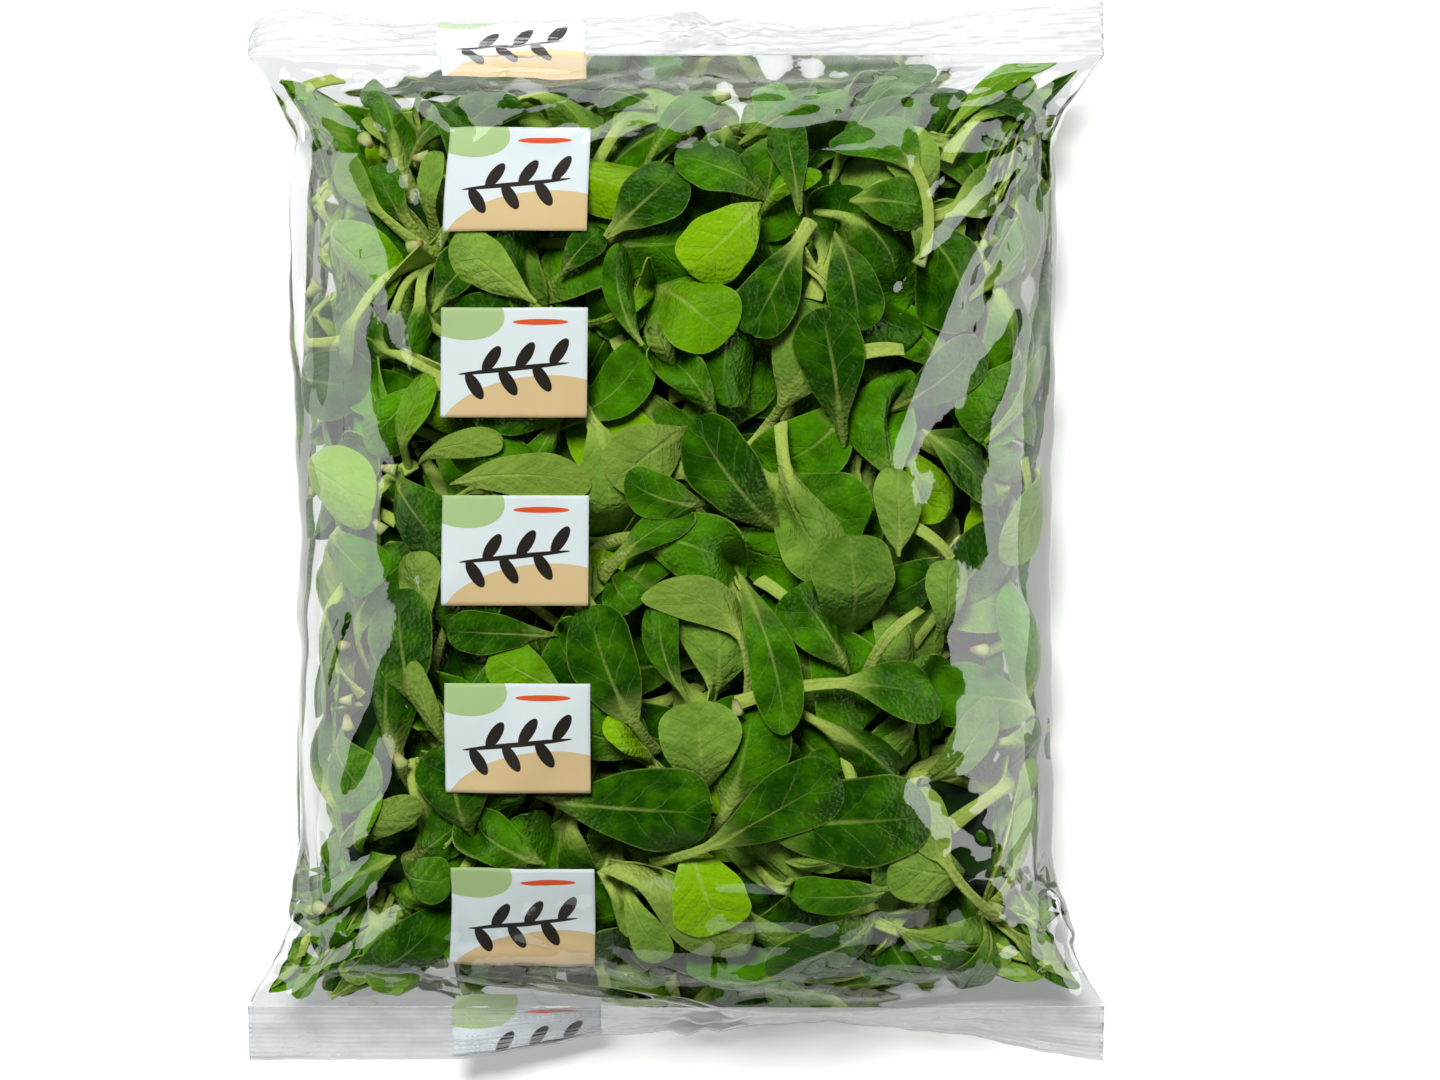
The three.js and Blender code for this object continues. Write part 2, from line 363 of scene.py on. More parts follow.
def square_mesh(name, reach):
    """One square that lies flat round the origin."""
    mesh = bpy.data.meshes.new(name)
    corners = [(-reach, -reach, 0), (reach, -reach, 0), (reach, reach, 0), (-reach, reach, 0)]
    mesh.from_pydata(corners, [], [(0, 1, 2, 3)])
    return mesh


def unit(vectors):
    return vectors / np.maximum(np.linalg.norm(vectors, axis=-1, keepdims=True), 1e-12)


def grid_quads(rows, columns, wrap=False):
    """Quads over a grid of points numbered row by row."""
    row, column = np.meshgrid(np.arange(rows - 1), np.arange(columns - (not wrap)), indexing="ij")
    here, above = row.ravel() * columns, (row.ravel() + 1) * columns
    column = column.ravel()
    after = (column + 1) % columns
    return np.stack([here + column, here + after, above + after, above + column], -1)


def halves(quads):
    """Both triangles of each quad."""
    return np.concatenate([quads[:, [0, 1, 2]], quads[:, [0, 2, 3]]])


def slab_quads(rows, columns):
    """Quads of a thin closed slab: a front grid, a back grid of as many points, and the rim between."""
    front = grid_quads(rows, columns)
    back = front[:, ::-1] + rows * columns
    number = np.arange(rows * columns).reshape(rows, columns)
    rim = np.concatenate([number[0], number[1:, -1], number[-1, -2::-1], number[-2:0:-1, 0]])
    after = np.roll(rim, -1)
    side = np.stack([after, rim, rim + rows * columns, after + rows * columns], -1)
    return np.concatenate([front, back, side]), rim


class FilmSurface:
    """The film's form after it has settled, read at any distance round the tube and along it."""

    def __init__(self, ring, around, along):
        self.ring, self.around, self.along = ring, around, along
        self.rows, self.columns = ring.shape[:2]

    def smoothed(self, passes):
        """The same surface with its wrinkles ironed out, for what lies under it."""
        ring = self.ring.copy()
        for _ in range(passes):
            beside = (np.roll(ring, 1, 1) + np.roll(ring, -1, 1)) / 2
            above = ring.copy()
            above[1:-1] = (ring[:-2] + ring[2:]) / 2
            mixed = ring / 2 + (beside + above) / 4
            ring[1:-1] = mixed[1:-1]
        return FilmSurface(ring, self.around, self.along)

    def at(self, u, v):
        """Points of the surface, by a smooth blend of the sixteen nearest grid points."""
        across = np.asarray(u) / self.around * self.columns
        up = np.clip(np.asarray(v) / self.along, 0, 1) * (self.rows - 1)
        column, row = np.floor(across).astype(int), np.minimum(np.floor(up).astype(int), self.rows - 2)
        total = 0
        for a, wa in zip(range(-1, 3), cubic_shares(across - column)):
            for b, wb in zip(range(-1, 3), cubic_shares(up - row)):
                rows = np.clip(row + b, 0, self.rows - 1)
                total = total + (wa * wb)[..., None] * self.ring[rows, (column + a) % self.columns]
        return total

    def with_normals(self, u, v):
        """Points of the surface and the outward directions there."""
        step = 0.0015
        low, high = np.clip(v - step, 0, self.along), np.clip(v + step, 0, self.along)
        across = self.at(u + step, v) - self.at(u - step, v)
        up = self.at(u, high) - self.at(u, low)
        return self.at(u, v), unit(np.cross(across, up))


def cubic_shares(t):
    """The four weights of a smooth curve through evenly spaced points."""
    return (
        (-t + 2 * t**2 - t**3) / 2, (2 - 5 * t**2 + 3 * t**3) / 2, (t + 4 * t**2 - 3 * t**3) / 2,
        (-(t**2) + t**3) / 2
    )


def waves(points, seed, count, shortest, longest):
    """A smooth uneven field from -1 to 1, made of plane waves between two wave lengths in metres."""
    draw = np.random.default_rng(seed)
    total = np.zeros(points.shape[:-1])
    for _ in range(count):
        direction = draw.normal(size=3)
        direction /= np.linalg.norm(direction)
        length = math.exp(draw.uniform(math.log(shortest), math.log(longest)))
        total += np.sin(points @ direction * 2 * math.pi / length + draw.uniform(0, 2 * math.pi))
    return total / math.sqrt(count)


# Film: simulation
def contents_form(form):
    """A lumpy solid, a little smaller than the bag, that the film settles round."""
    rows, columns = 48, 80
    turn = np.linspace(0, 2 * math.pi, columns, endpoint=False)
    y = -(form.seal_y - 0.012) * np.cos(np.linspace(0, math.pi, rows))[:, None] + 0 * turn
    x = -form.half_width(y) * np.cos(turn)
    z = np.where(turn <= math.pi, form.top(x, y), form.bottom(x, y))
    middle = form.edge_height(x, y)
    inner = np.maximum(0, 1 - 0.003 / np.maximum(0.004, np.abs(z - middle)))
    points = np.stack([0.965 * x, y, middle + (z - middle) * inner], -1)
    points[..., 2] += 0.0014 * waves(points, 5, 14, 0.02, 0.05)
    points[..., 2] = np.maximum(points[..., 2], 0.0004)
    faces = grid_quads(rows, columns, wrap=True).tolist()
    faces.append(list(range(columns))[::-1])
    faces.append(list(range((rows - 1) * columns, rows * columns)))
    mesh = bpy.data.meshes.new("contents_form")
    mesh.from_pydata((points.reshape(-1, 3) * CLOTH_SCALE).tolist(), [], faces)
    return mesh


# How the film behaves as cloth, in Blender's own units. Its seals are held
FILM_CLOTH = {
    "quality": 6, "mass": 0.15, "tension_stiffness": 60, "compression_stiffness": 60,
    "shear_stiffness": 40, "bending_stiffness": 0.06, "tension_damping": 15, "compression_damping": 15,
    "shear_damping": 15, "air_damping": 2.0, "use_pressure": True, "vertex_group_mass": "seals"
}


def settle_film(form, sizes, ring):
    """Runs the cloth simulation of the film with both seals held, and returns the settled ring."""
    rows, columns = ring.shape[:2]
    there, again = np.linspace(-0.5, 0.5, FRONT_CELLS + 1), np.linspace(0.5, -0.5, FRONT_CELLS + 1)
    flat_x = np.concatenate([there, again[1:-1]]) * sizes.film_width
    flat_y = np.linspace(-0.5, 0.5, rows)[:, None] * sizes.film_length
    flat = np.stack(np.broadcast_arrays(flat_x, flat_y, 0.0), -1).reshape(-1, 3)
    points = ring.reshape(-1, 3)
    keep = np.arange(rows * columns).reshape(rows, columns)
    for end in (0, -1):
        keep[end, FRONT_CELLS + 1 :] = keep[end, 1:FRONT_CELLS][::-1]
    quads = keep.ravel()[grid_quads(rows, columns, wrap=True)]
    used, numbers = np.unique(quads, return_inverse=True)
    faces = [list(dict.fromkeys(face)) for face in numbers.reshape(-1, 4).tolist()]
    mesh = bpy.data.meshes.new("film_tube")
    mesh.from_pydata((points[used] * CLOTH_SCALE).tolist(), [], [f for f in faces if len(f) > 2])
    tube = bpy.data.objects.new("film_tube", mesh)
    helpers = [tube]
    for solid in (contents_form(form), square_mesh("table_form", 4.0)):
        helpers.append(bpy.data.objects.new(solid.name, solid))
    for helper in helpers:
        bpy.context.scene.collection.objects.link(helper)
    for helper in helpers[1:]:
        helper.modifiers.new("Collision", "COLLISION")
        helper.collision.thickness_outer = 0.01
    tube.shape_key_add(name="start")
    rest = tube.shape_key_add(name="flat")
    rest.data.foreach_set("co", (flat[used] * CLOTH_SCALE).astype(np.float32).ravel())
    rest.value = 0.0
    held = np.flatnonzero((used < columns) | (used >= (rows - 1) * columns)).tolist()
    tube.vertex_groups.new(name="seals").add(held, 1.0, "REPLACE")
    cloth = tube.modifiers.new("Cloth", "CLOTH")
    for name, value in FILM_CLOTH.items():
        setattr(cloth.settings, name, value)
    cloth.settings.uniform_pressure_force = sizes.gas_pressure
    cloth.settings.effector_weights.gravity = 0.25
    cloth.settings.rest_shape_key = rest
    cloth.collision_settings.distance_min = 0.01
    cloth.point_cache.frame_start = 1
    cloth.point_cache.frame_end = sizes.settle_frames
    scene = bpy.context.scene
    for step in range(1, sizes.settle_frames + 1):
        scene.frame_set(step)
    evaluated = tube.evaluated_get(bpy.context.evaluated_depsgraph_get())
    settled = np.empty(len(used) * 3, np.float32)
    evaluated.data.vertices.foreach_get("co", settled)
    scene.frame_set(1)
    points = points.copy()
    points[used] = settled.reshape(-1, 3) / CLOTH_SCALE
    result = points[keep.ravel()].reshape(ring.shape)
    # At the four corners the empty film lies flat and keeps the flare that it starts with
    x, y = ring[..., 0], ring[..., 1]
    corner = (form.near_seal(y) * np.clip(np.abs(x) / form.half_width(y), 0, 1) ** 2)[..., None]
    result = result * (1 - corner) + ring * corner
    if not np.isfinite(result).all() or np.ptp(result[..., 2]) > 2 * form.thickness:
        raise RuntimeError("the film simulation ran away")
    for helper in helpers:
        data = helper.data
        bpy.data.objects.remove(helper)
        bpy.data.meshes.remove(data)
    return result


# Film: materials
def show_or_pass(add, seen, passing):
    """The full look where the camera sees it. Other light only passes and loses an even share, which
    spares the render the film's creases on every bounce between the leaves."""
    plain = add("ShaderNodeBsdfTransparent", rgba(passing))
    looked_at = add("ShaderNodeLightPath").outputs["Is Camera Ray"]
    mixed = add("ShaderNodeMixShader", looked_at, plain, seen)
    add("ShaderNodeOutputMaterial", mixed)


def film_material():
    # Clear oriented polypropylene: no colour of its own, and hard bright reflections on every crease.
    # The IOR stands for both faces of the film reflecting together
    material, add = new_material("clear polypropylene film")
    place = add("ShaderNodeTexCoord").outputs["Object"]
    # Creases that the photo shows about 8 mm apart, and finer crackle between them
    creases = add("ShaderNodeTexNoise", place, 120.0, 1.0)
    crackle = add("ShaderNodeTexNoise", place, 420.0, 1.0)
    coarse = add("ShaderNodeBump", named={"Strength": 0.05, "Distance": 0.003, "Height": creases})
    normal = add(
        "ShaderNodeBump",
        named={"Strength": 0.04, "Distance": 0.0006, "Height": crackle, "Normal": coarse}
    )
    clear = add("ShaderNodeBsdfTransparent", rgba("#f3f4f5"))
    gloss = add(
        "ShaderNodeBsdfGlossy", named={"Color": rgba("#ffffff"), "Roughness": 0.04, "Normal": normal}
    )
    share = add("ShaderNodeFresnel", 1.75, normal)
    seen = add("ShaderNodeMixShader", share, clear, gloss)
    show_or_pass(add, seen, "#ecede9")
    return material


def seal_material():
    # The same film in two layers, melted together: a little milky, with crimp ridges that catch the light
    material, add = new_material("heat sealed polypropylene")
    place = add("ShaderNodeTexCoord").outputs["Object"]
    cloud = add("ShaderNodeTexNoise", place, 90.0, 3.0)
    milk = add("ShaderNodeMapRange", cloud, 0.3, 0.7, 0.22, 0.42)
    clear = add("ShaderNodeBsdfTransparent", rgba("#eeeff0"))
    white = add("ShaderNodeBsdfDiffuse", rgba("#dcdedf"))
    hazy = add("ShaderNodeMixShader", milk, clear, white)
    gloss = add("ShaderNodeBsdfGlossy", named={"Color": rgba("#dadada"), "Roughness": 0.3})
    share = add("ShaderNodeFresnel", 1.5)
    seen = add("ShaderNodeMixShader", share, hazy, gloss)
    show_or_pass(add, seen, "#fafafa")
    return material


# Film: finished pieces
# Long creases in the film, in millimetres from the bag's middle: from a place and to a place, half their
# width, and their height where they start. Most fan out from the seals' corners and the back seam
FILM_CREASES = (
    (98, 121, -22, 88, 3.4, 1.1), (100, 123, 18, 108, 2.8, -0.9), (60, 120, 4, 98, 2.6, 0.9),
    (6, 122, -62, 106, 2.4, 0.8), (6, 122, -34, 92, 2.4, -0.8), (6, 122, 10, 90, 2.2, 0.7),
    (6, 122, 46, 102, 2.4, 0.8), (-101, 121, -62, 90, 3.2, 1.1), (-80, 121, -50, 100, 2.6, -0.8),
    (-101, 118, -88, 60, 2.6, 0.8), (-86, 46, -87, -16, 2.2, -0.8), (-85, -22, -93, -62, 2.2, 0.8),
    (-88, 70, -84, 20, 2.2, 0.6), (6, -122, -44, -98, 2.6, 1.0), (6, -122, 52, -100, 2.6, 1.0),
    (6, -122, 12, -96, 2.2, -0.8), (-100, -122, -66, -96, 3.2, 1.1), (-84, -122, -78, -84, 2.6, -0.8),
    (-58, -122, -76, -92, 2.4, 0.8), (-34, -122, -58, -94, 2.4, 0.7), (104, -122, 82, -88, 3.2, 1.1),
    (104, -118, 97, -62, 2.6, 0.8), (74, -122, 92, -88, 2.6, -0.8), (42, -122, 70, -92, 2.4, 0.8),
    (96, 60, 98, -20, 2.4, 0.6), (84, 90, 94, 20, 2.6, 0.5)
)


def crumple(points, normals, form):
    """Moves points in and out by the lumps and creases that leaves and handling leave in the film."""
    x, y = points[..., 0], points[..., 1]
    near_end = np.clip((np.abs(y) / form.seal_y - 0.72) / 0.28, 0, 1)
    near_side = np.clip((np.abs(x) / form.half_width(y) - 0.75) / 0.25, 0, 1)
    lumps = waves(points, 21, 12, 0.016, 0.032)
    pleats = waves(points * np.array([1.0, 0.35, 0.35]), 22, 10, 0.007, 0.016)
    cross = waves(points * np.array([0.35, 1.0, 0.6]), 23, 10, 0.008, 0.02)
    height = 0.00022 * lumps + 0.0003 * near_end * pleats + 0.0003 * near_side * (1 - near_end) * cross
    height = height - 0.0003 * near_end * np.abs(pleats)
    front = np.clip(4 * normals[..., 2], 0, 1)
    wander = 0.0012 * waves(points, 24, 6, 0.02, 0.05)
    for from_x, from_y, to_x, to_y, reach, rise in FILM_CREASES:
        run_x, run_y = (to_x - from_x) * MM, (to_y - from_y) * MM
        length = math.hypot(run_x, run_y)
        past_x, past_y = x - from_x * MM, y - from_y * MM
        along = np.clip((past_x * run_x + past_y * run_y) / length**2, 0, 1)
        beside = (past_x * run_y - past_y * run_x) / length + wander
        over = np.hypot(past_x - along * run_x, past_y - along * run_y)
        away = np.where((along > 0) & (along < 1), np.abs(beside), over)
        share = np.clip(1 - away / (reach * MM), 0, 1) * (1 - along) ** 0.6
        height = height + rise * MM * share * front
    fade = np.clip((form.seal_y - np.abs(y)) / 0.006, 0, 1) * (1 - 0.85 * near_end * near_side)
    return points + normals * (height * fade)[..., None]


def build_film(surface, form):
    u = np.linspace(0, surface.around, FINE_AROUND, endpoint=False)
    v = surface.along * (0.5 - 0.5 * np.cos(np.linspace(0, math.pi, FINE_ALONG)))
    v = 0.6 * v + 0.4 * np.linspace(0, surface.along, FINE_ALONG)
    v, u = np.meshgrid(v, u, indexing="ij")
    points, normals = surface.with_normals(u, v)
    points = crumple(points, normals, form)
    points[..., 2] = np.maximum(points[..., 2], LOWEST_FILM)
    half = FINE_AROUND // 2
    for end in (0, -1):
        points[end, half + 1 :] = points[end, 1:half][::-1]
    number = np.arange(FINE_ALONG * FINE_AROUND).reshape(FINE_ALONG, FINE_AROUND)
    for end in (0, -1):
        number[end, half + 1 :] = number[end, 1:half][::-1]
    quads = number.ravel()[grid_quads(FINE_ALONG, FINE_AROUND, wrap=True)]
    triangles = halves(quads)
    spread = np.sort(triangles, 1)
    triangles = triangles[(np.diff(spread, axis=1) > 0).all(1)]
    used, numbers = np.unique(triangles, return_inverse=True)
    uv = np.stack([u, v], -1).reshape(-1, 2) / surface.along
    mesh = mesh_from("film", points.reshape(-1, 3)[used], numbers.reshape(-1, 3), uv[used])
    return show(mesh, film_material())


# The back seam: where its right edge is, its width, and how far its two faces lie outside the film
BACK_SEAM_X = 0.006
BACK_SEAM_WIDTH = 0.019
BACK_SEAM_FACES = (0.00012, 0.00034)
# The seal strips: half their thickness, and the crimp's ridges
STRIP_HALF = 0.00009
RIDGE_PITCH = 0.00135
RIDGE_HEIGHT = 0.00005


def strip_surface(form, x, out, end, lift):
    """A point on a crimped strip. The crimp's ridges run across the bag, and star creases cross them at
    the back seam."""
    point = form.strip_point(x, out, end)
    beyond = form.strip_point(x, out + 0.0005, end)
    beside = form.strip_point(x + 0.0005, out, end)
    normal = unit(np.cross(beside - point, beyond - point) * end)
    ridges = RIDGE_HEIGHT * np.sin(2 * math.pi * out / RIDGE_PITCH)
    seam = np.exp(-(((x - BACK_SEAM_X) / 0.011) ** 2))
    creases = waves(np.stack([x, 3 * out, 0 * x], -1), 31 + end, 8, 0.006, 0.02)
    buckle = (0.00025 + 0.0009 * seam) * creases * np.clip(out / 0.003, 0, 1)
    return point + normal * (lift + ridges + buckle)[..., None]


def build_strips(form, sizes, material):
    """Both seal strips, as thin closed slabs joined in one piece."""
    rows, columns = 61, 150
    all_points, all_quads, count = [], [], 0
    x = np.linspace(-form.seal_width / 2, form.seal_width / 2, columns)
    out = np.linspace(0, sizes.seal_depth, rows)
    out, x = np.meshgrid(out, x, indexing="ij")
    for end in (-1, 1):
        front = strip_surface(form, x, out, end, np.full_like(x, STRIP_HALF))
        back = strip_surface(form, x, out, end, np.full_like(x, -STRIP_HALF))
        quads, _ = slab_quads(rows, columns)
        if end < 0:
            quads = quads[:, ::-1]
        all_points += [front.reshape(-1, 3), back.reshape(-1, 3)]
        all_quads.append(quads + count)
        count += 2 * rows * columns
    points = np.concatenate(all_points)
    points[:, 2] += TABLE_GAP
    mesh = mesh_from("seal_strips", points, np.concatenate(all_quads))
    return show(mesh, material)


def build_back_seam(surface, form, sizes, material):
    """The long seam, folded flat against the back and sealed into both strips."""
    columns, rows = 14, 140
    across = np.linspace(BACK_SEAM_X - BACK_SEAM_WIDTH, BACK_SEAM_X, columns)
    u = 1.5 * sizes.film_width - across
    v = np.linspace(0.001, surface.along - 0.001, rows)
    v, u = np.meshgrid(v, u, indexing="ij")
    points, normals = surface.with_normals(u, v)
    points = crumple(points, normals, form)
    front, back = (points + normals * out for out in BACK_SEAM_FACES)
    for sheet in (front, back):
        sheet[..., 2] = np.maximum(sheet[..., 2], 0.0)
    back[..., 2] = np.maximum(0.0, np.minimum(back[..., 2], front[..., 2] - 0.0001))
    front[..., 2] = np.maximum(front[..., 2], 0.0001)
    quads, _ = slab_quads(rows, columns)
    mesh = mesh_from("back_seam", np.concatenate([front.reshape(-1, 3), back.reshape(-1, 3)]), quads)
    return show(mesh, material)


class SALADBAG_OT_film(bpy.types.Operator):
    """Settle the film round its contents and make the film, the seal strips and the back seam"""

    bl_idname = "saladbag.film"
    bl_label = "Film and Seals"

    def execute(self, context):
        sizes = context.scene.salad_bag_sizes
        form = BagForm(sizes)
        ring = start_ring(form)
        ring = settle_film(form, sizes, ring)
        surface = FilmSurface(ring, 2 * sizes.film_width, sizes.film_length)
        made.update(form=form, surface=surface, film=build_film(surface, form))
        sealed = seal_material()
        build_strips(form, sizes, sealed)
        build_back_seam(surface, form, sizes, sealed)
        return {"FINISHED"}


# Labels
# Their row: where it crosses the bag's middle, how far it is shifted along the bag, and its lean
LABEL_ROW_X = -0.041
LABEL_MIDDLE_SHIFT = -0.0034
LABEL_LEAN = -0.0135
LABEL_COUNT = 7
# The share of a seal strip's depth that a label may cover, how far its two faces lie inside the film,
# and how far they are moved out again on a strip
LABEL_END = 0.97
LABEL_FACES = (0.00012, 0.00018)
LABEL_LIFT = 0.00022


def label_material(colours):
    # Ink printed on film: an even, faintly glossy coat with a crisp edge, in flat colours
    material, add = new_material("printed polypropylene label")
    uv = add("ShaderNodeUVMap", uv_map="surface")
    # UV runs from 0 to 1 across and 0 to 0.75 up. Each shape is an oval, given by its middle, its two half
    # sizes and its turn in degrees. A tan hill and a pale green cloud lie under a plain dark sprig
    tan, green = (*colours.label_tan, 1.0), (*colours.label_green, 1.0)
    ink, warm = rgba("#28231d"), rgba("#e4582c")
    shapes = [
        (0.10, 0.74, 0.34, 0.20, -14, green), (0.62, -0.02, 0.62, 0.30, 8, tan),
        (0.68, 0.655, 0.19, 0.021, 0, warm), (0.50, 0.335, 0.38, 0.017, 6, ink)
    ]
    for step in range(6):
        side = 1 if step % 2 else -1
        at = 0.2 + 0.115 * step
        up = 0.30 + 0.115 * (at - 0.2) + side * 0.085
        shapes.append((at + 0.035, up, 0.105, 0.043, side * 58, ink))
    colour = (*colours.label_ground, 1.0)
    for middle_x, middle_y, long, short, turn, paint in shapes:
        angle = math.radians(turn)
        turned = add(
            "ShaderNodeMapping", uv, (middle_x, middle_y, 0), (0, 0, angle), (long, short, 1),
            vector_type="TEXTURE"
        )
        away = add("ShaderNodeVectorMath", turned, operation="LENGTH").outputs["Value"]
        inside = add("ShaderNodeMath", away, 1.0, operation="LESS_THAN")
        colour = add("ShaderNodeMix", inside, colour, paint, data_type="RGBA")
    shader = add("ShaderNodeBsdfPrincipled", named={"Base Color": colour, "Roughness": 0.45, "IOR": 1.5})
    add("ShaderNodeOutputMaterial", shader)
    return material


def build_labels(surface, form, sizes, material):
    """Seven labels in a leaning row, each a thin slab just inside the film or on a seal strip."""
    rows, columns = 26, 34
    middle = surface.along / 2 + LABEL_MIDDLE_SHIFT
    all_points, all_quads, all_uv, count = [], [], [], 0
    for index in range(LABEL_COUNT):
        centre = middle + (index - (LABEL_COUNT - 1) / 2) * sizes.label_pitch
        up = np.linspace(-0.5, 0.5, rows) * sizes.label_height + centre
        past_end = sizes.seal_depth * LABEL_END
        up = up[(up > -past_end) & (up < surface.along + past_end)]
        x = LABEL_ROW_X + LABEL_LEAN * (centre - middle)
        across = np.linspace(-0.5, 0.5, columns) * sizes.label_width + x
        v, x = np.meshgrid(up, across, indexing="ij")
        share = np.stack(
            [
                (x - across[0]) / sizes.label_width,
                (v - centre + sizes.label_height / 2) / sizes.label_width
            ], -1
        )
        u = sizes.film_width / 2 + x
        on_film, normals = surface.with_normals(u, np.clip(v, 0, surface.along))
        on_film = crumple(on_film, normals, form)
        sheets = []
        for depth in LABEL_FACES:
            points = on_film - normals * depth
            for end, past in ((-1, -v), (1, v - surface.along)):
                lift = np.full_like(x, LABEL_LIFT - depth)
                strip = strip_surface(form, x, np.maximum(past, 0), end, lift)
                strip[..., 2] += TABLE_GAP
                points[past > 0] = strip[past > 0]
            sheets.append(points.reshape(-1, 3))
        quads, _ = slab_quads(len(up), columns)
        all_points += sheets
        all_quads.append(quads + count)
        all_uv += [share.reshape(-1, 2)] * 2
        count += 2 * len(up) * columns
    grids = (np.concatenate(part) for part in (all_points, all_quads, all_uv))
    return show(mesh_from("labels", *grids), material)


class SALADBAG_OT_labels(bpy.types.Operator):
    """Make the row of printed labels on the front of the film"""

    bl_idname = "saladbag.labels"
    bl_label = "Labels"

    def execute(self, context):
        scene = context.scene
        material = label_material(scene.salad_bag_colours)
        build_labels(made["surface"], made["form"], scene.salad_bag_sizes, material)
        return {"FINISHED"}


# Leaves
LEAF_ROWS = 19
LEAF_COLUMNS = 11
DEPTH_CELL = 0.0015
LEAF_GAP = 0.00015
# The leaves follow the film with its wrinkles ironed out, this far inside it and no deeper than this
IRONING_PASSES = 6
FILM_GAP = 0.0008
DEEPEST = 0.022
# Where too little room is left, a leaf isn't laid: this far in, the bag's thickness is measured
PROBE_DEPTH = 0.012
# Leaves end this far from the seal lines
END_GAP = 0.003
# A leaf drawn at random is left out if more than this share of it has less room than the first size, or
# lies deeper than the room there by the second
CROWDED_SHARE = 0.12
LEAST_ROOM = 0.0012
PAST_ROOM = 0.003
# The least distance of a leaf's face from the finished film. This is measured with a ray that starts this
# far outside, steps past the near side, and may find no far side within reach
FINISHED_GAP = 0.0004
RAY_START = 0.006
RAY_STEP = 0.0001
NO_FAR_SIDE = 0.1


class LeafBed:
    """The room under the film: for each place of the unrolled tube, how deep the leaves already reach."""

    def __init__(self, surface, form):
        self.surface = surface.smoothed(IRONING_PASSES)
        self.columns = round(surface.around / DEPTH_CELL)
        self.rows = round(surface.along / DEPTH_CELL)
        u = (np.arange(self.columns) + 0.5) * surface.around / self.columns
        v = (np.arange(self.rows) + 0.5) * surface.along / self.rows
        v, u = np.meshgrid(v, u, indexing="ij")
        points, normals = self.surface.with_normals(u, v)
        dip = ((points - surface.at(u, v)) * normals).sum(-1)
        self.depth = np.maximum(dip, 0) + FILM_GAP
        inner = points - PROBE_DEPTH * normals
        room = form.top(inner[..., 0], inner[..., 1]) - form.bottom(inner[..., 0], inner[..., 1])
        inside = np.abs(inner[..., 0]) < form.half_width(inner[..., 1])
        self.room = np.where(inside, np.clip(0.5 * room, 0, DEEPEST), 0)

    def cells(self, u, v):
        column = np.floor(u / self.surface.around * self.columns).astype(int) % self.columns
        row = np.clip((v / self.surface.along * self.rows).astype(int), 0, self.rows - 1)
        return row, column

    def cover(self, u, v, depth):
        """Marks a leaf's places as filled down to its depth, and their neighbours with them."""
        row, column = self.cells(u, v)
        for step in (0, 1):
            for side in (0, 1):
                place = np.minimum(row + step, self.rows - 1), (column + side) % self.columns
                np.maximum.at(self.depth, place, depth)


def leaf_grid():
    """Shares along a leaf from stalk to tip, and across it from edge to edge, closer at tip and rib."""
    along = 1 - (1 - np.linspace(0, 0.985, LEAF_ROWS)) ** 1.5
    across = np.linspace(-1, 1, LEAF_COLUMNS)
    across = np.sign(across) * np.abs(across) ** 1.15
    return np.meshgrid(along, across, indexing="ij")


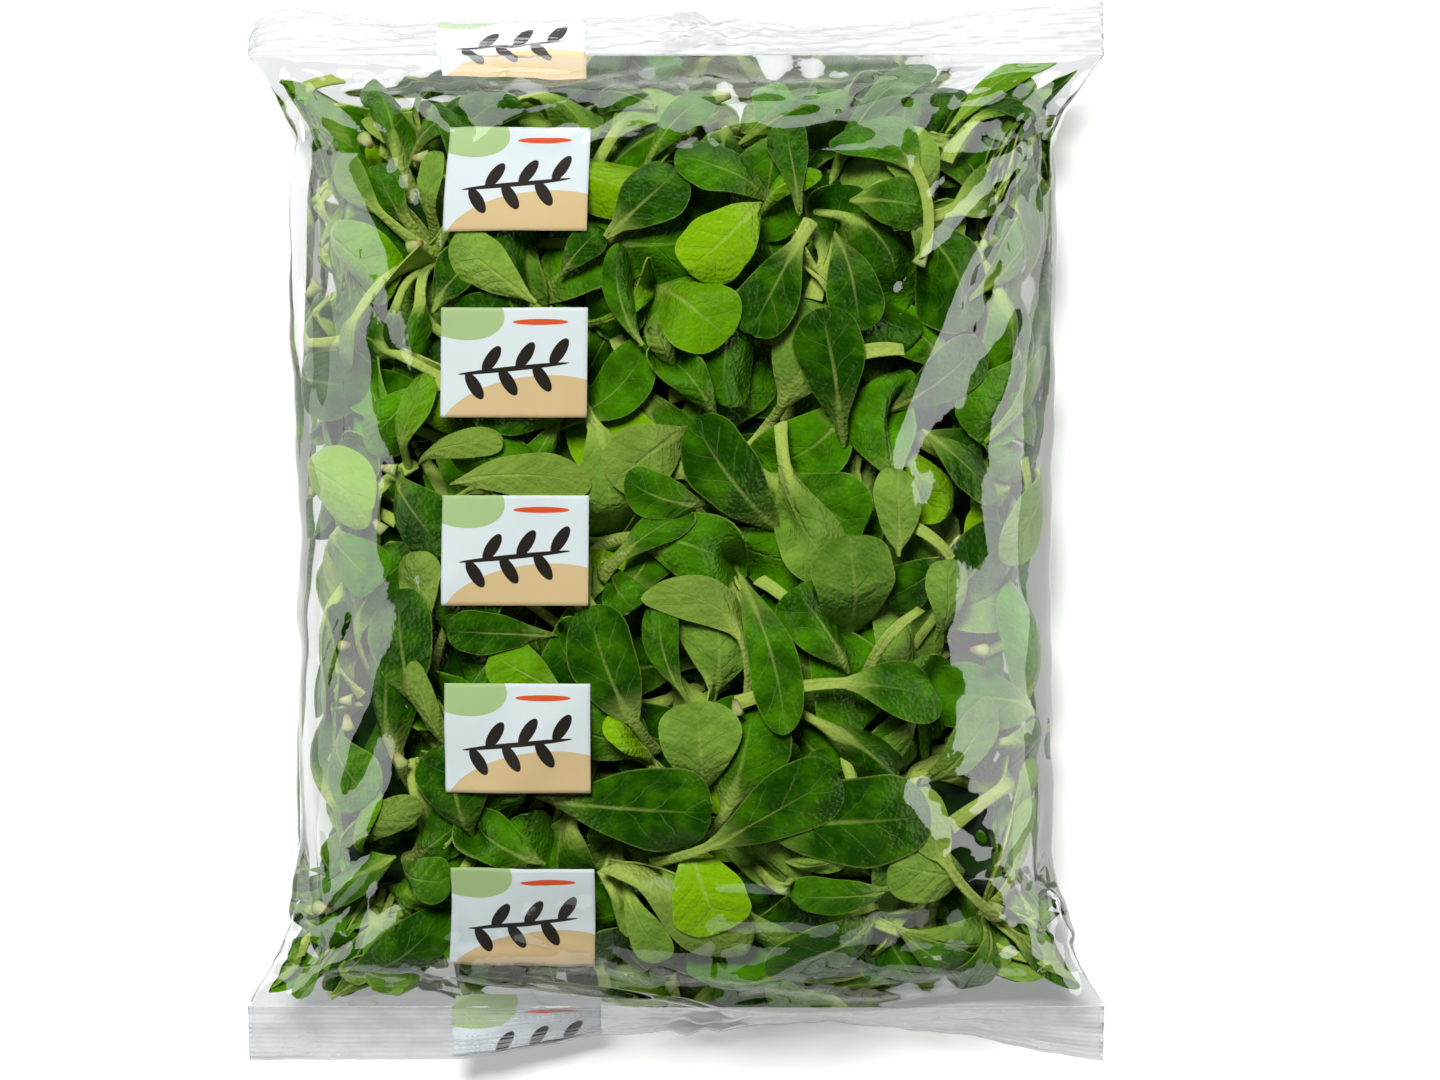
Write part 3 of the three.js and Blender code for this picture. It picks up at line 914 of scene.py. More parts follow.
# Leaves that the photo shows plainly, from the film inwards. In millimetres from the bag's middle: where
# the leaf's foot is and where its tip is, and the blade's width. Then the stalk's share of its length, its
# kind, its sideways bend and how far it is folded
FRONT_LEAVES = (
    (-6.6, -88.7, 41.4, -61.9, 19.8, 0.3, "d", 0, 0), (-35.7, -69, 9.4, -71.3, 23.3, 0.05, "d", 0, 0),
    (16.5, -76.4, 66.2, -72.6, 25.4, 0.12, "d", 0, 0), (7.6, -66.9, 5.6, -43.1, 21.8, 0.04, "u", 0, 0),
    (3.3, -83, 12.5, -102.3, 21.3, 0.05, "y", 0, 0), (16, -9.4, 28.2, -51.7, 14.2, 0.12, "m", 0.05, 0.1),
    (15.5, -43.9, 68.7, -43.6, 17.7, 0.52, "m", 0.1, 0.2),
    (18.5, -44.9, -6.8, -15, 15.7, 0.4, "v", -0.28, 0.1),
    (3.8, -43.4, -3.7, -17.5, 12.7, 0.12, "m", 0.1, 0.5),
    (-5.3, -57, -22, -19.1, 18.3, 0.22, "d", 0.05, 0),
    (-6.3, -60.1, -15.9, -46.1, 11.2, 0.1, "y", 0, 0.2), (47.5, -27.7, 44.4, -1.1, 22.3, 0.03, "g", 0, 0),
    (44.9, -35.8, 31.2, -14.5, 19.8, 0.04, "m", 0, 0.2),
    (57.7, -6.4, 56.1, 16.2, 14.2, 0.08, "u", 0, 0.2), (28.4, 0.2, 4.6, 28, 18.8, 0.04, "d", 0.06, 0),
    (7.4, 7.3, -12.4, 13.4, 16.2, 0.03, "m", 0.1, 0.5), (2.8, 27, -16.4, 12.3, 18.8, 0.04, "v", 0, 0),
    (-20, -11.5, 4.6, 5, 10.6, 0.25, "m", 0.05, 0.2), (-19.4, -7.4, -10.8, -20.1, 12.2, 0.1, "m", 0, 0.1),
    (43.9, 23, 37.3, 56.5, 20.3, 0.12, "d", 0, 0.2), (57.2, 28.6, 79.1, 48, 14.7, 0.12, "d", 0, 0),
    (21.6, 85, 2.8, 66.6, 20.8, 0.03, "y", 0.05, 0.3), (-5.8, 64.8, 13.5, 48.8, 21.3, 0.03, "b", 0, 0),
    (-8.3, 47, -14.4, 72.9, 12.2, 0.05, "m", 0.1, 0.8), (34.8, 80.2, 19, 49.8, 17.7, 0.18, "d", 0, 0.1),
    (43.2, 78.4, 47.5, 50.9, 15.7, 0.1, "d", 0, 0.1),
    (63.9, 70.2, 43.7, 105.5, 18.8, 0.48, "m", -0.22, 0),
    (31.8, 82.5, 28.3, 105.7, 11.7, 0.1, "d", 0, 0.2),
    (22.9, 84.5, 37.4, 91.3, 8.6, 0.05, "b", 0.15, 0.5), (26.2, 87.6, 0.2, 96.4, 14.2, 0.05, "m", 0, 0),
    (45, 85.1, 66.5, 82.8, 15.2, 0.06, "m", 0, 0.2), (-17.5, 74.7, 1.3, 92.2, 17.7, 0.12, "d", 0, 0),
    (68.1, 87, 57.5, 103.1, 14.7, 0.05, "w", 0, 0), (-0.7, 42.7, -5.8, 52.1, 6.1, 0.05, "v", 0, 0),
    (10.9, 28, -5.8, 47, 12.7, 0.08, "m", -0.08, 0.3),
    (-91.9, -49.9, -78.5, -69.3, 17.7, 0.05, "m", 0, 0),
    (-85.7, -86.1, -76.6, -66.2, 8.6, 0.05, "b", 0, 0.6),
    (-93.8, -89.5, -64.9, -69.3, 11.7, 0.1, "v", 0.05, 0.3),
    (-53.7, -80.2, -58.7, -54.4, 19.8, 0.08, "d", 0, 0),
    (-34.3, -86.7, -57.2, -73.5, 15.7, 0.05, "m", 0, 0.3),
    (-59.1, -80.8, -39.3, -67.5, 6.1, 0.05, "m", 0.08, 0.9),
    (-59.7, -56.7, -67.2, -33.4, 8.6, 0.05, "v", 0, 0.6),
    (-68.5, -46.1, -71.1, -15.1, 19.3, 0.1, "d", 0, 0), (-64.6, -27.8, -67.5, -5.1, 15.7, 0.1, "v", 0, 0),
    (-75.3, 16, -59.2, -5.4, 18.8, 0.1, "d", 0, 0), (-74.2, 16.5, -62.8, 39.4, 11.7, 0.2, "b", 0, 0.4),
    (-69.5, 17.5, -43.8, 22.5, 9.1, 0.12, "v", 0.06, 0.3),
    (-58.9, 11.9, -21, 11.8, 12.7, 0.08, "v", 0.06, 0.1),
    (-30.9, -26.7, -58.2, -25.7, 11.7, 0.04, "d", 0, 0),
    (-28.6, -40.8, -47.4, -31.3, 14.2, 0.05, "b", 0, 0),
    (-73.5, -85.2, -92.5, -94.4, 13.2, 0.05, "m", 0, 0),
    (-74.1, -88.9, -57.4, -90.1, 13.2, 0.05, "m", 0, 0),
    (-67, 74.1, -87.3, 96.4, 11.2, 0.4, "g", 0.05, 0.1), (-67, 74.1, -77.7, 93.9, 10.6, 0.3, "m", 0, 0),
    (-67, 74.1, -60.5, 111.3, 14.2, 0.25, "d", -0.25, 0.1),
    (-66.5, 74.1, -61.1, 98.3, 7.6, 0.3, "u", 0, 0.2),
    (-67, 74.1, -90.4, 90.3, 8.6, 0.55, "v", -0.2, 0.3),
    (-67, 74.1, -90.8, 42.4, 10.1, 0.62, "g", 0, 0.2), (-67, 73.6, -68, 47.3, 5.6, 0.6, "m", 0.1, 0.3),
    (-67, 73.6, -74.2, 46.1, 5.1, 0.6, "d", 0, 0.3), (-35.5, 58, -56.7, 74.5, 14.2, 0.08, "w", 0, 0.1),
    (-62.3, 55.6, -53.1, 73.9, 11.7, 0.1, "d", 0, 0.1),
    (-29.1, 65.6, -18.5, 77.5, 10.1, 0.08, "d", 0, 0.2),
    (-25.3, 53.4, -6.3, 69.1, 6.6, 0.1, "b", -0.25, 0.7),
    (85, -100.9, 63.6, -67.2, 13.2, 0.55, "v", 0.1, 0),
    (79.5, -91.2, 55.2, -85.4, 20.3, 0.08, "u", 0, 0.1),
    (85, -100.9, 93.9, -69.3, 11.2, 0.45, "u", 0, 0.2),
    (85.2, -101.4, 99.2, -59.5, 10.1, 0.55, "v", 0.15, 0.2),
    (85.2, -101.4, 105.4, -118.5, 13.2, 0.2, "d", 0, 0.1),
    (84.7, -101.7, 73.7, -121.7, 11.2, 0.15, "d", 0, 0.2),
    (55.3, -92.9, 29.8, -93.9, 11.7, 0.05, "m", 0, 0.3), (29.7, -86.2, 44, -84.2, 8.1, 0.05, "u", 0, 0.3),
    (67.5, -66, 83.1, -43.3, 12.7, 0.05, "g", 0, 0.1),
    (-17.8, -85.1, 18.6, -110.3, 19.3, 0.22, "v", 0.05, 0.1),
    (-17.8, -85.1, -2.9, -110.3, 11.7, 0.3, "u", 0, 0.2),
    (-19, -88.7, -9, -104.4, 8.6, 0.25, "v", 0, 0.3), (54.4, -101.1, 23.8, -114.8, 17.7, 0.05, "d", 0, 0),
    (57.5, -103.5, 80.1, -117.6, 15.2, 0.05, "m", 0, 0),
    (-71.7, 97.5, -39.3, 110.9, 11.7, 0.05, "d", 0.12, 0.1),
    (-5.2, 108.9, -19.4, 115.2, 10.1, 0.05, "d", 0, 0.2),
    (-8.9, 96.9, 9.4, 112.4, 11.7, 0.1, "m", 0, 0.1), (16.5, 104.8, 44.8, 112.6, 10.1, 0.1, "m", 0, 0.2),
    (40.7, 97, 66.4, 121.6, 13.2, 0.1, "m", 0.06, 0.1),
    (73.2, 108.3, 99.4, 126.9, 11.2, 0.1, "b", 0.06, 0.1),
    (99.8, 104.3, 80, 116.2, 11.2, 0.05, "d", 0, 0.1), (96.7, 59.7, 91.4, 98.2, 14.2, 0.08, "d", 0, 0.1),
    (79.1, 59, 97.4, 88.3, 12.7, 0.1, "m", 0, 0.1), (-90.1, -122.1, -60.2, -100.9, 18.8, 0.05, "d", 0, 0),
    (-59.8, -121.5, -85.7, -112.4, 14.2, 0.08, "d", 0, 0.1),
    (-40, -116.9, -59, -102.2, 14.7, 0.08, "m", 0, 0), (-80, -99, -87.5, -121.5, 14.7, 0.06, "d", 0, 0.1),
    (-62, -101, -71, -122, 15.2, 0.06, "d", 0.05, 0), (-50, -103, -55.5, -121.5, 12.7, 0.06, "m", 0, 0.1),
    (70, -27.8, 69.5, -7.4, 12.7, 0.08, "u", 0, 0), (98.7, 15.8, 85.7, -7.5, 15.2, 0.08, "u", 0, 0),
    (83.1, 23.2, 98, 46.9, 11.7, 0.1, "g", 0, 0.1), (64.9, 25.6, 83.1, 7.9, 11.7, 0.1, "d", 0, 0.1),
    (-29.1, 28.1, -52, 33.2, 15.2, 0.08, "d", 0, 0),
    (-11.3, -42.8, -29.1, -22.6, 10.1, 0.08, "d", 0, 0.1),
    (49.5, -40.4, 63.6, -19.6, 3.5, 0.92, "s", 0.15, 0), (56.9, 4, 71.3, -7.4, 3.5, 0.92, "s", 0.05, 0),
    (21.9, -91.1, 31.8, -91.4, 3.8, 0.92, "s", 0, 0), (44.4, 44.6, 58.4, 45.9, 4.6, 0.92, "s", 0.05, 0),
    (58.8, -103.5, 57.3, -83.8, 3, 0.92, "s", -0.35, 0)
)
# For each kind of leaf: its tint, whether its underside shows, and how yellow it is
LEAF_KINDS = {
    "d": (0.10, False, 0.0), "m": (0.42, False, 0.0), "b": (0.75, False, 0.35), "y": (0.90, False, 1.0),
    "u": (0.70, True, 0.0), "v": (0.25, True, 0.6), "g": (0.20, True, 0.0), "w": (1.00, True, 0.0),
    "s": (0.50, True, 0.3)
}


def random_form(draw, sizes, scale=1.0):
    """Length, width, stalk share, bend and fold of a leaf drawn at random."""
    young = draw.random() < 0.22
    length = draw.uniform(0.58, 0.8) if young else draw.uniform(0.8, 1.12)
    width = draw.uniform(0.42, 0.65) if young else draw.uniform(0.75, 1.08)
    fold = draw.uniform(0.2, 0.9) if draw.random() < 0.36 else 0.0
    return (
        sizes.leaf_length * scale * length, sizes.blade_width * scale * width, draw.uniform(0.2, 0.36),
        draw.uniform(-0.16, 0.16), fold
    )


def leaf_shape(draw, sizes, shape):
    """A flat spoon-shaped leaf with its own size, bend and edge: local places, depths and thickness."""
    length, width, stalk_end, bend, fold = shape
    along, across = leaf_grid()
    blade = np.clip((along - stalk_end) / (1 - stalk_end), 0, 1)
    widen, close = draw.uniform(0.70, 1.15), draw.uniform(0.38, 0.50)
    peak = widen / (widen + close)
    form = blade**widen * (1 - blade) ** close / (peak**widen * (1 - peak) ** close)
    foot = 1 + 0.5 * (1 - along) ** 4 if stalk_end > 0.15 else 0.35 + 0.65 * np.clip(along / 0.1, 0, 1)
    stalk = draw.uniform(0.0011, 0.0016) * foot * (1 - blade) ** 0.5
    pale = np.clip(1 - blade / 0.3, 0, 1) ** 1.3 * (1.0 if stalk_end > 0.15 else 0.55)
    if stalk_end > 0.9:
        form, stalk, pale = 0 * along, width / 2 * (1 - 0.3 * along), 1 + 0 * along
    half = np.sqrt(stalk**2 + (width / 2 * form) ** 2)
    nicks = np.sin(along * draw.uniform(9, 16) + draw.uniform(0, 6)) * np.sign(across)
    half = half * (1 + 0.04 * form * nicks)
    closing = min(1.0, abs(fold))
    y = half * across * (1 - 0.45 * closing * (np.abs(across) ** 0.5))
    y = y + length * bend * 4 * along * (1 - along)
    x = length * along
    touch = draw.uniform(0.45, 0.8)
    depth = draw.uniform(0.001, 0.012) * ((along - touch) / 0.5) ** 2
    depth = depth + draw.uniform(-0.0016, 0.0045) * across**2 * form
    depth = depth + half * across * (along - 0.5) * draw.uniform(-0.9, 0.9)
    ripple = np.sin(along * draw.uniform(8, 15) + draw.uniform(0, 6) + across * 2)
    depth = depth + draw.uniform(0.0004, 0.0018) * ripple * across**2 * form
    depth = depth + (x - length / 2) * draw.normal(0, 0.16) + half * across * draw.normal(0, 0.34)
    depth = depth + np.abs(half * across) * fold * 1.1
    depth = depth + draw.uniform(0.0, 0.006) * np.clip(1 - along / 0.3, 0, 1) ** 2
    rib = np.exp(-((across * half / 0.0012) ** 2)) * (1 - along) * form
    body = (1 - blade) ** 2 * (1 - across**2)
    thickness = sizes.thickness * (1 + 0.15 * form) + 0.0014 * body + 0.0008 * rib
    return x, y, depth, thickness, pale


def lay_leaf(bed, draw, sizes, place, aim, shape, kind=None, near=0.55, sink=0.0):
    """Finds where a leaf comes to lie under those before it. Returns None where there is no room."""
    x, y, lift, thickness, pale = leaf_shape(draw, sizes, shape)
    u = place[0] + x * math.cos(aim) - y * math.sin(aim)
    v = place[1] + x * math.sin(aim) + y * math.cos(aim)
    if v.min() < END_GAP or v.max() > bed.surface.along - END_GAP:
        if kind is None:
            return None
        v = np.clip(v, END_GAP, bed.surface.along - END_GAP)
    row, column = bed.cells(u, v)
    need = bed.depth[row, column] + LEAF_GAP + thickness / 2
    room = bed.room[row, column]
    if kind is None and (room < LEAST_ROOM).mean() > CROWDED_SHARE:
        return None
    depth = np.maximum(lift + np.quantile(need - lift, near) + sink, need)
    for _ in range(9):
        smooth = depth.copy()
        smooth[1:-1] += depth[:-2] / 2 + depth[2:] / 2 - depth[1:-1]
        smooth[:, 1:-1] += depth[:, :-2] / 2 + depth[:, 2:] / 2 - depth[:, 1:-1]
        depth = np.maximum(depth + (smooth - depth) * 0.45, need)
    # Over the last steps, leaves bend into one another a little rather than turn a sharp corner
    for _ in range(2):
        depth[1:-1] = depth[1:-1] / 2 + (depth[:-2] + depth[2:]) / 4
    if kind is None and (depth > room + PAST_ROOM).mean() > CROWDED_SHARE:
        return None
    depth = np.minimum(depth, np.maximum(room, need.min()))
    if kind is None:
        tint = draw.random() ** 1.6 * 0.9
        turned = draw.random() < 0.2
        yellow = draw.uniform(0.3, 1.0) if draw.random() < 0.12 else 0.0
    else:
        tint, turned, yellow = LEAF_KINDS[kind]
    return {
        "u": u, "v": v, "depth": depth, "thickness": thickness, "pale": pale, "turned": float(turned),
        "yellow": yellow, "tint": tint
    }


def accept(bed, leaf):
    bed.cover(leaf["u"], leaf["v"], leaf["depth"] + leaf["thickness"] / 2)


def emptiest(bed, draw, tries):
    """Of several random places, the one where the leaves reach least deep."""
    u = draw.uniform(0, bed.surface.around, tries)
    v = draw.uniform(0.005, bed.surface.along - 0.012, tries)
    row, column = bed.cells(u, v)
    best = np.argmin(bed.depth[row, column])
    return u[best], v[best]


# How deep a collar lies on the front, and under the leaves over it elsewhere. Stalks start this far from it
FRONT_COLLAR_DEPTH = 0.0035
COLLAR_SINK = 0.0022
STALK_START = 0.0012
# Where the photo shows the root collar of a plant, in millimetres from the bag's middle, and the way
# that the collar points, in degrees
FRONT_COLLARS = (
    (-66.6, 73.5, 20), (64.2, 70.4, 60), (83.9, -100.0, 250), (15.5, -44.2, 100), (-75.2, 15.8, 170)
)


def grow_plant(bed, draw, sizes, place, leaves, crowns):
    """Lays the leaves of one plant round its collar."""
    scale = draw.uniform(0.85, 1.05)
    fan, start, count = draw.uniform(90, 300), draw.uniform(0, 360), int(draw.integers(3, 6))
    angles = np.radians(start + fan * (np.arange(count) + 0.5) / count)
    row, column = bed.cells(np.array([place[0]]), np.array([place[1]]))
    crown_depth = bed.depth[row, column][0] + COLLAR_SINK
    laid = 0
    for k in draw.permutation(count):
        aim = angles[k] + draw.normal(0, 0.2)
        root = (place[0] + STALK_START * math.cos(aim), place[1] + STALK_START * math.sin(aim))
        shape = random_form(draw, sizes, scale * draw.uniform(0.8, 1.08))
        leaf = lay_leaf(bed, draw, sizes, root, aim, shape, near=0.4)
        if leaf is not None:
            leaves.append(leaf)
            accept(bed, leaf)
            laid += 1
    if laid > 1 and bed.room[row, column][0] > 0.012:
        crowns.append((*place, crown_depth, draw.uniform(0.6, 0.9), draw.uniform(0, 2 * math.pi)))


def find_places(bed, x, y):
    """Distances round and along the film of places seen from above on its front."""
    u = np.linspace(0, bed.surface.around / 2, 460)
    v = np.linspace(0, bed.surface.along, 560)
    v, u = np.meshgrid(v, u, indexing="ij")
    points = bed.surface.at(u, v)
    found = []
    for one_x, one_y in zip(x, y):
        nearest = np.argmin(np.hypot(points[..., 0] - one_x * MM, points[..., 1] - one_y * MM))
        found.append((u.ravel()[nearest], v.ravel()[nearest]))
    return np.array(found)


def lay_leaves(bed, sizes):
    """All leaves from the film inwards: those that the photo shows, then loose leaves and plants."""
    draw = np.random.default_rng(sizes.seed)
    leaves, crowns = [], []
    table = np.array([row[:5] for row in FRONT_LEAVES])
    feet = find_places(bed, table[:, 0], table[:, 1])
    tips = find_places(bed, table[:, 2], table[:, 3])
    collars = np.array(FRONT_COLLARS)
    for place, turn in zip(find_places(bed, collars[:, 0], collars[:, 1]), collars[:, 2]):
        crowns.append((*place, FRONT_COLLAR_DEPTH, draw.uniform(0.75, 0.95), math.radians(turn)))
    for row, foot, tip in zip(FRONT_LEAVES, feet, tips):
        run = tip - foot
        shape = (math.hypot(*run), row[4] * MM, row[5], row[7], row[8])
        leaf = lay_leaf(bed, draw, sizes, foot, math.atan2(run[1], run[0]), shape, row[6], near=0.35)
        leaves.append(leaf)
        accept(bed, leaf)
    attempts = 0
    while len(leaves) < sizes.count and attempts < 6 * sizes.count:
        attempts += 1
        place = emptiest(bed, draw, 7)
        if draw.random() < 0.05:
            grow_plant(bed, draw, sizes, place, leaves, crowns)
            continue
        aim = draw.uniform(0, 2 * math.pi)
        shape = random_form(draw, sizes)
        # The place is the middle of the leaf's blade
        place = (place[0] - 0.6 * shape[0] * math.cos(aim), place[1] - 0.6 * shape[0] * math.sin(aim))
        sink = 0.006 * draw.random() ** 1.5
        leaf = lay_leaf(bed, draw, sizes, place, aim, shape, sink=sink)
        if leaf is not None:
            leaves.append(leaf)
            accept(bed, leaf)
    return leaves, crowns


def film_sides(points, normals):
    """How far in from each place the near and the far side of the finished film are."""
    tree = BVHTree.FromObject(made["film"], bpy.context.evaluated_depsgraph_get())
    near, far = np.zeros(points.shape[:-1]), np.full(points.shape[:-1], NO_FAR_SIDE)
    for place in np.ndindex(near.shape):
        inward = Vector(-normals[place])
        hit, _, _, first = tree.ray_cast(Vector(points[place]) - inward * RAY_START, inward)
        if hit is None:
            continue
        near[place] = first - RAY_START
        hit, _, _, second = tree.ray_cast(hit + inward * RAY_STEP, inward)
        if hit is not None:
            far[place] = near[place] + RAY_STEP + second
    return near, far


def leaves_mesh(name, bed, leaves, step):
    """Joins leaves into one mesh, each a closed thin solid with both faces split alike."""
    rows = np.arange(0, LEAF_ROWS, step)
    columns = np.arange(0, LEAF_COLUMNS, step)
    pick = np.ix_(rows, columns)
    along, across = (grid[pick] for grid in leaf_grid())
    keys = ("u", "v", "depth", "thickness", "pale")
    stack = {key: np.array([leaf[key][pick] for leaf in leaves]) for key in keys}
    points, normals = bed.surface.with_normals(stack["u"], stack["v"])
    # Every point of a leaf stays between the film's two sides, also where these meet near the seals
    near, far = film_sides(points, normals)
    gap = stack["thickness"] / 2 + FINISHED_GAP
    depth = np.maximum(stack["depth"], near + gap)
    depth = np.minimum(depth, np.maximum(far - gap, (near + far) / 2))
    middle = points - normals * depth[..., None]
    facing = unit(np.cross(np.gradient(middle, axis=1), np.gradient(middle, axis=2)))
    outward = np.sign((facing * normals).sum(-1, keepdims=True))
    outward[outward == 0] = 1
    facing = facing * outward
    half = stack["thickness"][..., None] / 2
    front, back = middle + facing * half, middle - facing * half
    quads, rim = slab_quads(len(rows), len(columns))
    quads = quads[:, ::-1]
    cells = (len(rows) - 1) * (len(columns) - 1)
    per_leaf = 2 * len(rows) * len(columns)
    lower = halves(quads[:cells])
    alike = np.concatenate([lower, lower[:, ::-1] + per_leaf // 2])
    triangles = np.concatenate([alike, halves(quads[2 * cells :])])
    offsets = np.arange(len(leaves)) * per_leaf
    corners = (triangles[None] + offsets[:, None, None]).reshape(-1, 3)
    both = np.stack([front, back], 1).reshape(-1, 3)
    uv = np.stack([along, 0.5 + 0.5 * across], -1).reshape(1, -1, 2)
    uv = np.broadcast_to(uv, (2 * len(leaves), *uv.shape[1:])).reshape(-1, 2)
    turned = np.array([leaf["turned"] for leaf in leaves])
    under = np.repeat(np.stack([turned, 1 - turned], 1).reshape(-1), per_leaf // 2)
    tint = np.repeat([leaf["tint"] for leaf in leaves], per_leaf)
    yellow = np.repeat([leaf["yellow"] for leaf in leaves], per_leaf)
    pale = np.stack([stack["pale"], stack["pale"]], 1).reshape(-1)
    edge = np.zeros(per_leaf, bool)
    edge[rim] = edge[rim + per_leaf // 2] = True
    return mesh_from(
        name, both, corners, uv,
        [("underside", under), ("tint", tint), ("yellow", yellow), ("pale", pale)],
        np.tile(edge, len(leaves))
    )


def leaf_material(colours):
    # Lamb's lettuce: a thin waxy leaf, deep green and softly shiny above, pale and duller below, with a
    # pale midrib that fades towards the tip, curved side veins and a juicy pale stalk
    material, add = new_material("lamb's lettuce leaf")
    uv = add("ShaderNodeUVMap", uv_map="surface")
    place = add("ShaderNodeTexCoord").outputs["Object"]
    split = add("ShaderNodeSeparateXYZ", uv)
    along, across = split.outputs["X"], split.outputs["Y"]
    under, tint, yellow, pale_share = (
        add("ShaderNodeAttribute", attribute_name=name).outputs["Fac"]
        for name in ("underside", "tint", "yellow", "pale")
    )
    math_node, range_node, mix_node = "ShaderNodeMath", "ShaderNodeMapRange", "ShaderNodeMix"
    patches = add("ShaderNodeTexNoise", place, 130.0, 3.0)
    cells = add("ShaderNodeTexVoronoi", place, named={"Scale": 900.0})
    from_middle = add(math_node, across, 0.5, operation="SUBTRACT")
    from_middle = add(math_node, from_middle, operation="ABSOLUTE")
    from_rib = add(math_node, from_middle, 2.0, operation="MULTIPLY")
    # The midrib narrows from the stalk to the tip
    rib_width = add(range_node, along, 0.15, 1.0, 0.13, 0.012)
    rib_width = add(math_node, pale_share, 0.9, rib_width, operation="MULTIPLY_ADD")
    rib_share = add(math_node, from_rib, rib_width, operation="DIVIDE")
    rib = add(range_node, rib_share, 0.2, 1.0, 1.0, 0.0, interpolation_type="SMOOTHSTEP")
    rib_fade = add(range_node, along, 0.45, 0.95, 1.0, 0.1)
    rib = add(math_node, rib, rib_fade, operation="MULTIPLY")
    # Side veins leave the midrib forwards and bend along the edge, about 8 mm apart
    wobble = add(math_node, patches, 1.3, operation="MULTIPLY")
    swept = add(math_node, from_rib, 0.8, operation="POWER")
    swept = add(math_node, swept, -2.6, operation="MULTIPLY")
    swept = add(math_node, along, 11.0, swept, operation="MULTIPLY_ADD")
    swept = add(math_node, swept, wobble, operation="ADD")
    phase = add(math_node, swept, 1.0, operation="PINGPONG")
    vein = add(range_node, phase, 0.0, 0.08, 1.0, 0.0, interpolation_type="SMOOTHSTEP")
    edge_fade = add(range_node, from_rib, 0.35, 0.9, 1.0, 0.0)
    blade_fade = add(range_node, pale_share, 0.0, 0.4, 1.0, 0.0)
    vein = add(math_node, vein, edge_fade, operation="MULTIPLY")
    vein = add(math_node, vein, blade_fade, operation="MULTIPLY")
    # A thin pale band along the leaf's edge: a painted highlight where the edge catches the light
    rim = add(range_node, from_rib, 0.95, 1.0, 0.0, 0.3)
    uneven = add(range_node, patches, 0.35, 0.7, -0.24, 0.34)
    tone = add(math_node, tint, 0.85, uneven, operation="MULTIPLY_ADD", use_clamp=True)
    darks, lights = (*colours.upper_dark, 1.0), (*colours.upper_light, 1.0)
    upper = add(mix_node, tone, darks, lights, data_type="RGBA")
    darks, lights = (*colours.underside_dark, 1.0), (*colours.underside, 1.0)
    lower = add(mix_node, tone, darks, lights, data_type="RGBA")
    gold = add(math_node, yellow, 0.8, operation="MULTIPLY")
    upper = add(mix_node, gold, upper, (*colours.yellow_green, 1.0), data_type="RGBA")
    lower = add(mix_node, gold, lower, rgba("#8fa544"), data_type="RGBA")
    base = add(mix_node, under, upper, lower, data_type="RGBA")
    pale = (*colours.stalk, 1.0)
    vein_share = add(math_node, vein, 0.11, operation="MULTIPLY")
    base = add(mix_node, vein_share, base, pale, data_type="RGBA")
    # The painted edge highlight
    base = add(mix_node, rim, base, pale, data_type="RGBA")
    rib_share = add(math_node, rib, 0.38, operation="MULTIPLY")
    base = add(mix_node, rib_share, base, pale, data_type="RGBA")
    # Fine lengthwise streaks in the stalk, about 0.6 mm apart
    streaks = add(math_node, across, 24.0, operation="MULTIPLY")
    streaks = add(math_node, streaks, operation="SINE")
    streaks = add(range_node, streaks, -1.0, 1.0, 0.72, 0.92)
    stalk_share = add(math_node, pale_share, streaks, operation="MULTIPLY")
    base = add(mix_node, stalk_share, base, pale, data_type="RGBA")
    relief = add(math_node, rib, -0.7, operation="MULTIPLY")
    relief = add(math_node, vein, -0.5, relief, operation="MULTIPLY_ADD")
    # The blade swells between its side veins
    swell = add(math_node, phase, blade_fade, operation="MULTIPLY")
    relief = add(math_node, swell, 0.35, relief, operation="MULTIPLY_ADD")
    relief = add(math_node, cells, 0.5, relief, operation="MULTIPLY_ADD")
    relief = add(math_node, patches, 2.2, relief, operation="MULTIPLY_ADD")
    bump = add("ShaderNodeBump", named={"Height": relief, "Strength": 0.55, "Distance": 0.0011})
    rough = add(math_node, under, 0.16, 0.30, operation="MULTIPLY_ADD")
    shader = add(
        "ShaderNodeBsdfPrincipled",
        named={
            "Base Color": base, "Roughness": rough, "Normal": bump, "IOR": 1.38,
            "Specular Tint": rgba("#e8ffb0")
        }
    )
    add("ShaderNodeOutputMaterial", shader)
    return material


class SALADBAG_OT_leaves(bpy.types.Operator):
    """Lay the leaves under the film, from the outside in"""

    bl_idname = "saladbag.leaves"
    bl_label = "Leaves"

    def execute(self, context):
        scene = context.scene
        sizes = scene.salad_leaf_sizes
        bed = LeafBed(made["surface"], made["form"])
        leaves, crowns = lay_leaves(bed, sizes)
        if len(leaves) < 2.5 * sizes.near_count:
            raise RuntimeError("too few leaves found room under the film")
        material = leaf_material(scene.salad_bag_colours)
        layers = (
            ("near_leaves", leaves[: sizes.near_count], 1),
            ("middle_leaves", leaves[sizes.near_count : 2 * sizes.near_count], 1),
            ("deep_leaves", leaves[2 * sizes.near_count :], 2)
        )
        for name, layer, step in layers:
            show(leaves_mesh(name, bed, layer, step), material)
        made.update(bed=bed, crowns=crowns)
        print("leaves laid:", len(leaves), "crowns:", len(crowns))
        return {"FINISHED"}


# Root collars, where the stalks of one plant join
COLLAR_LENGTH = 0.0052
COLLAR_RADIUS = 0.0024
COLLAR_TOP_RADIUS = 0.0009


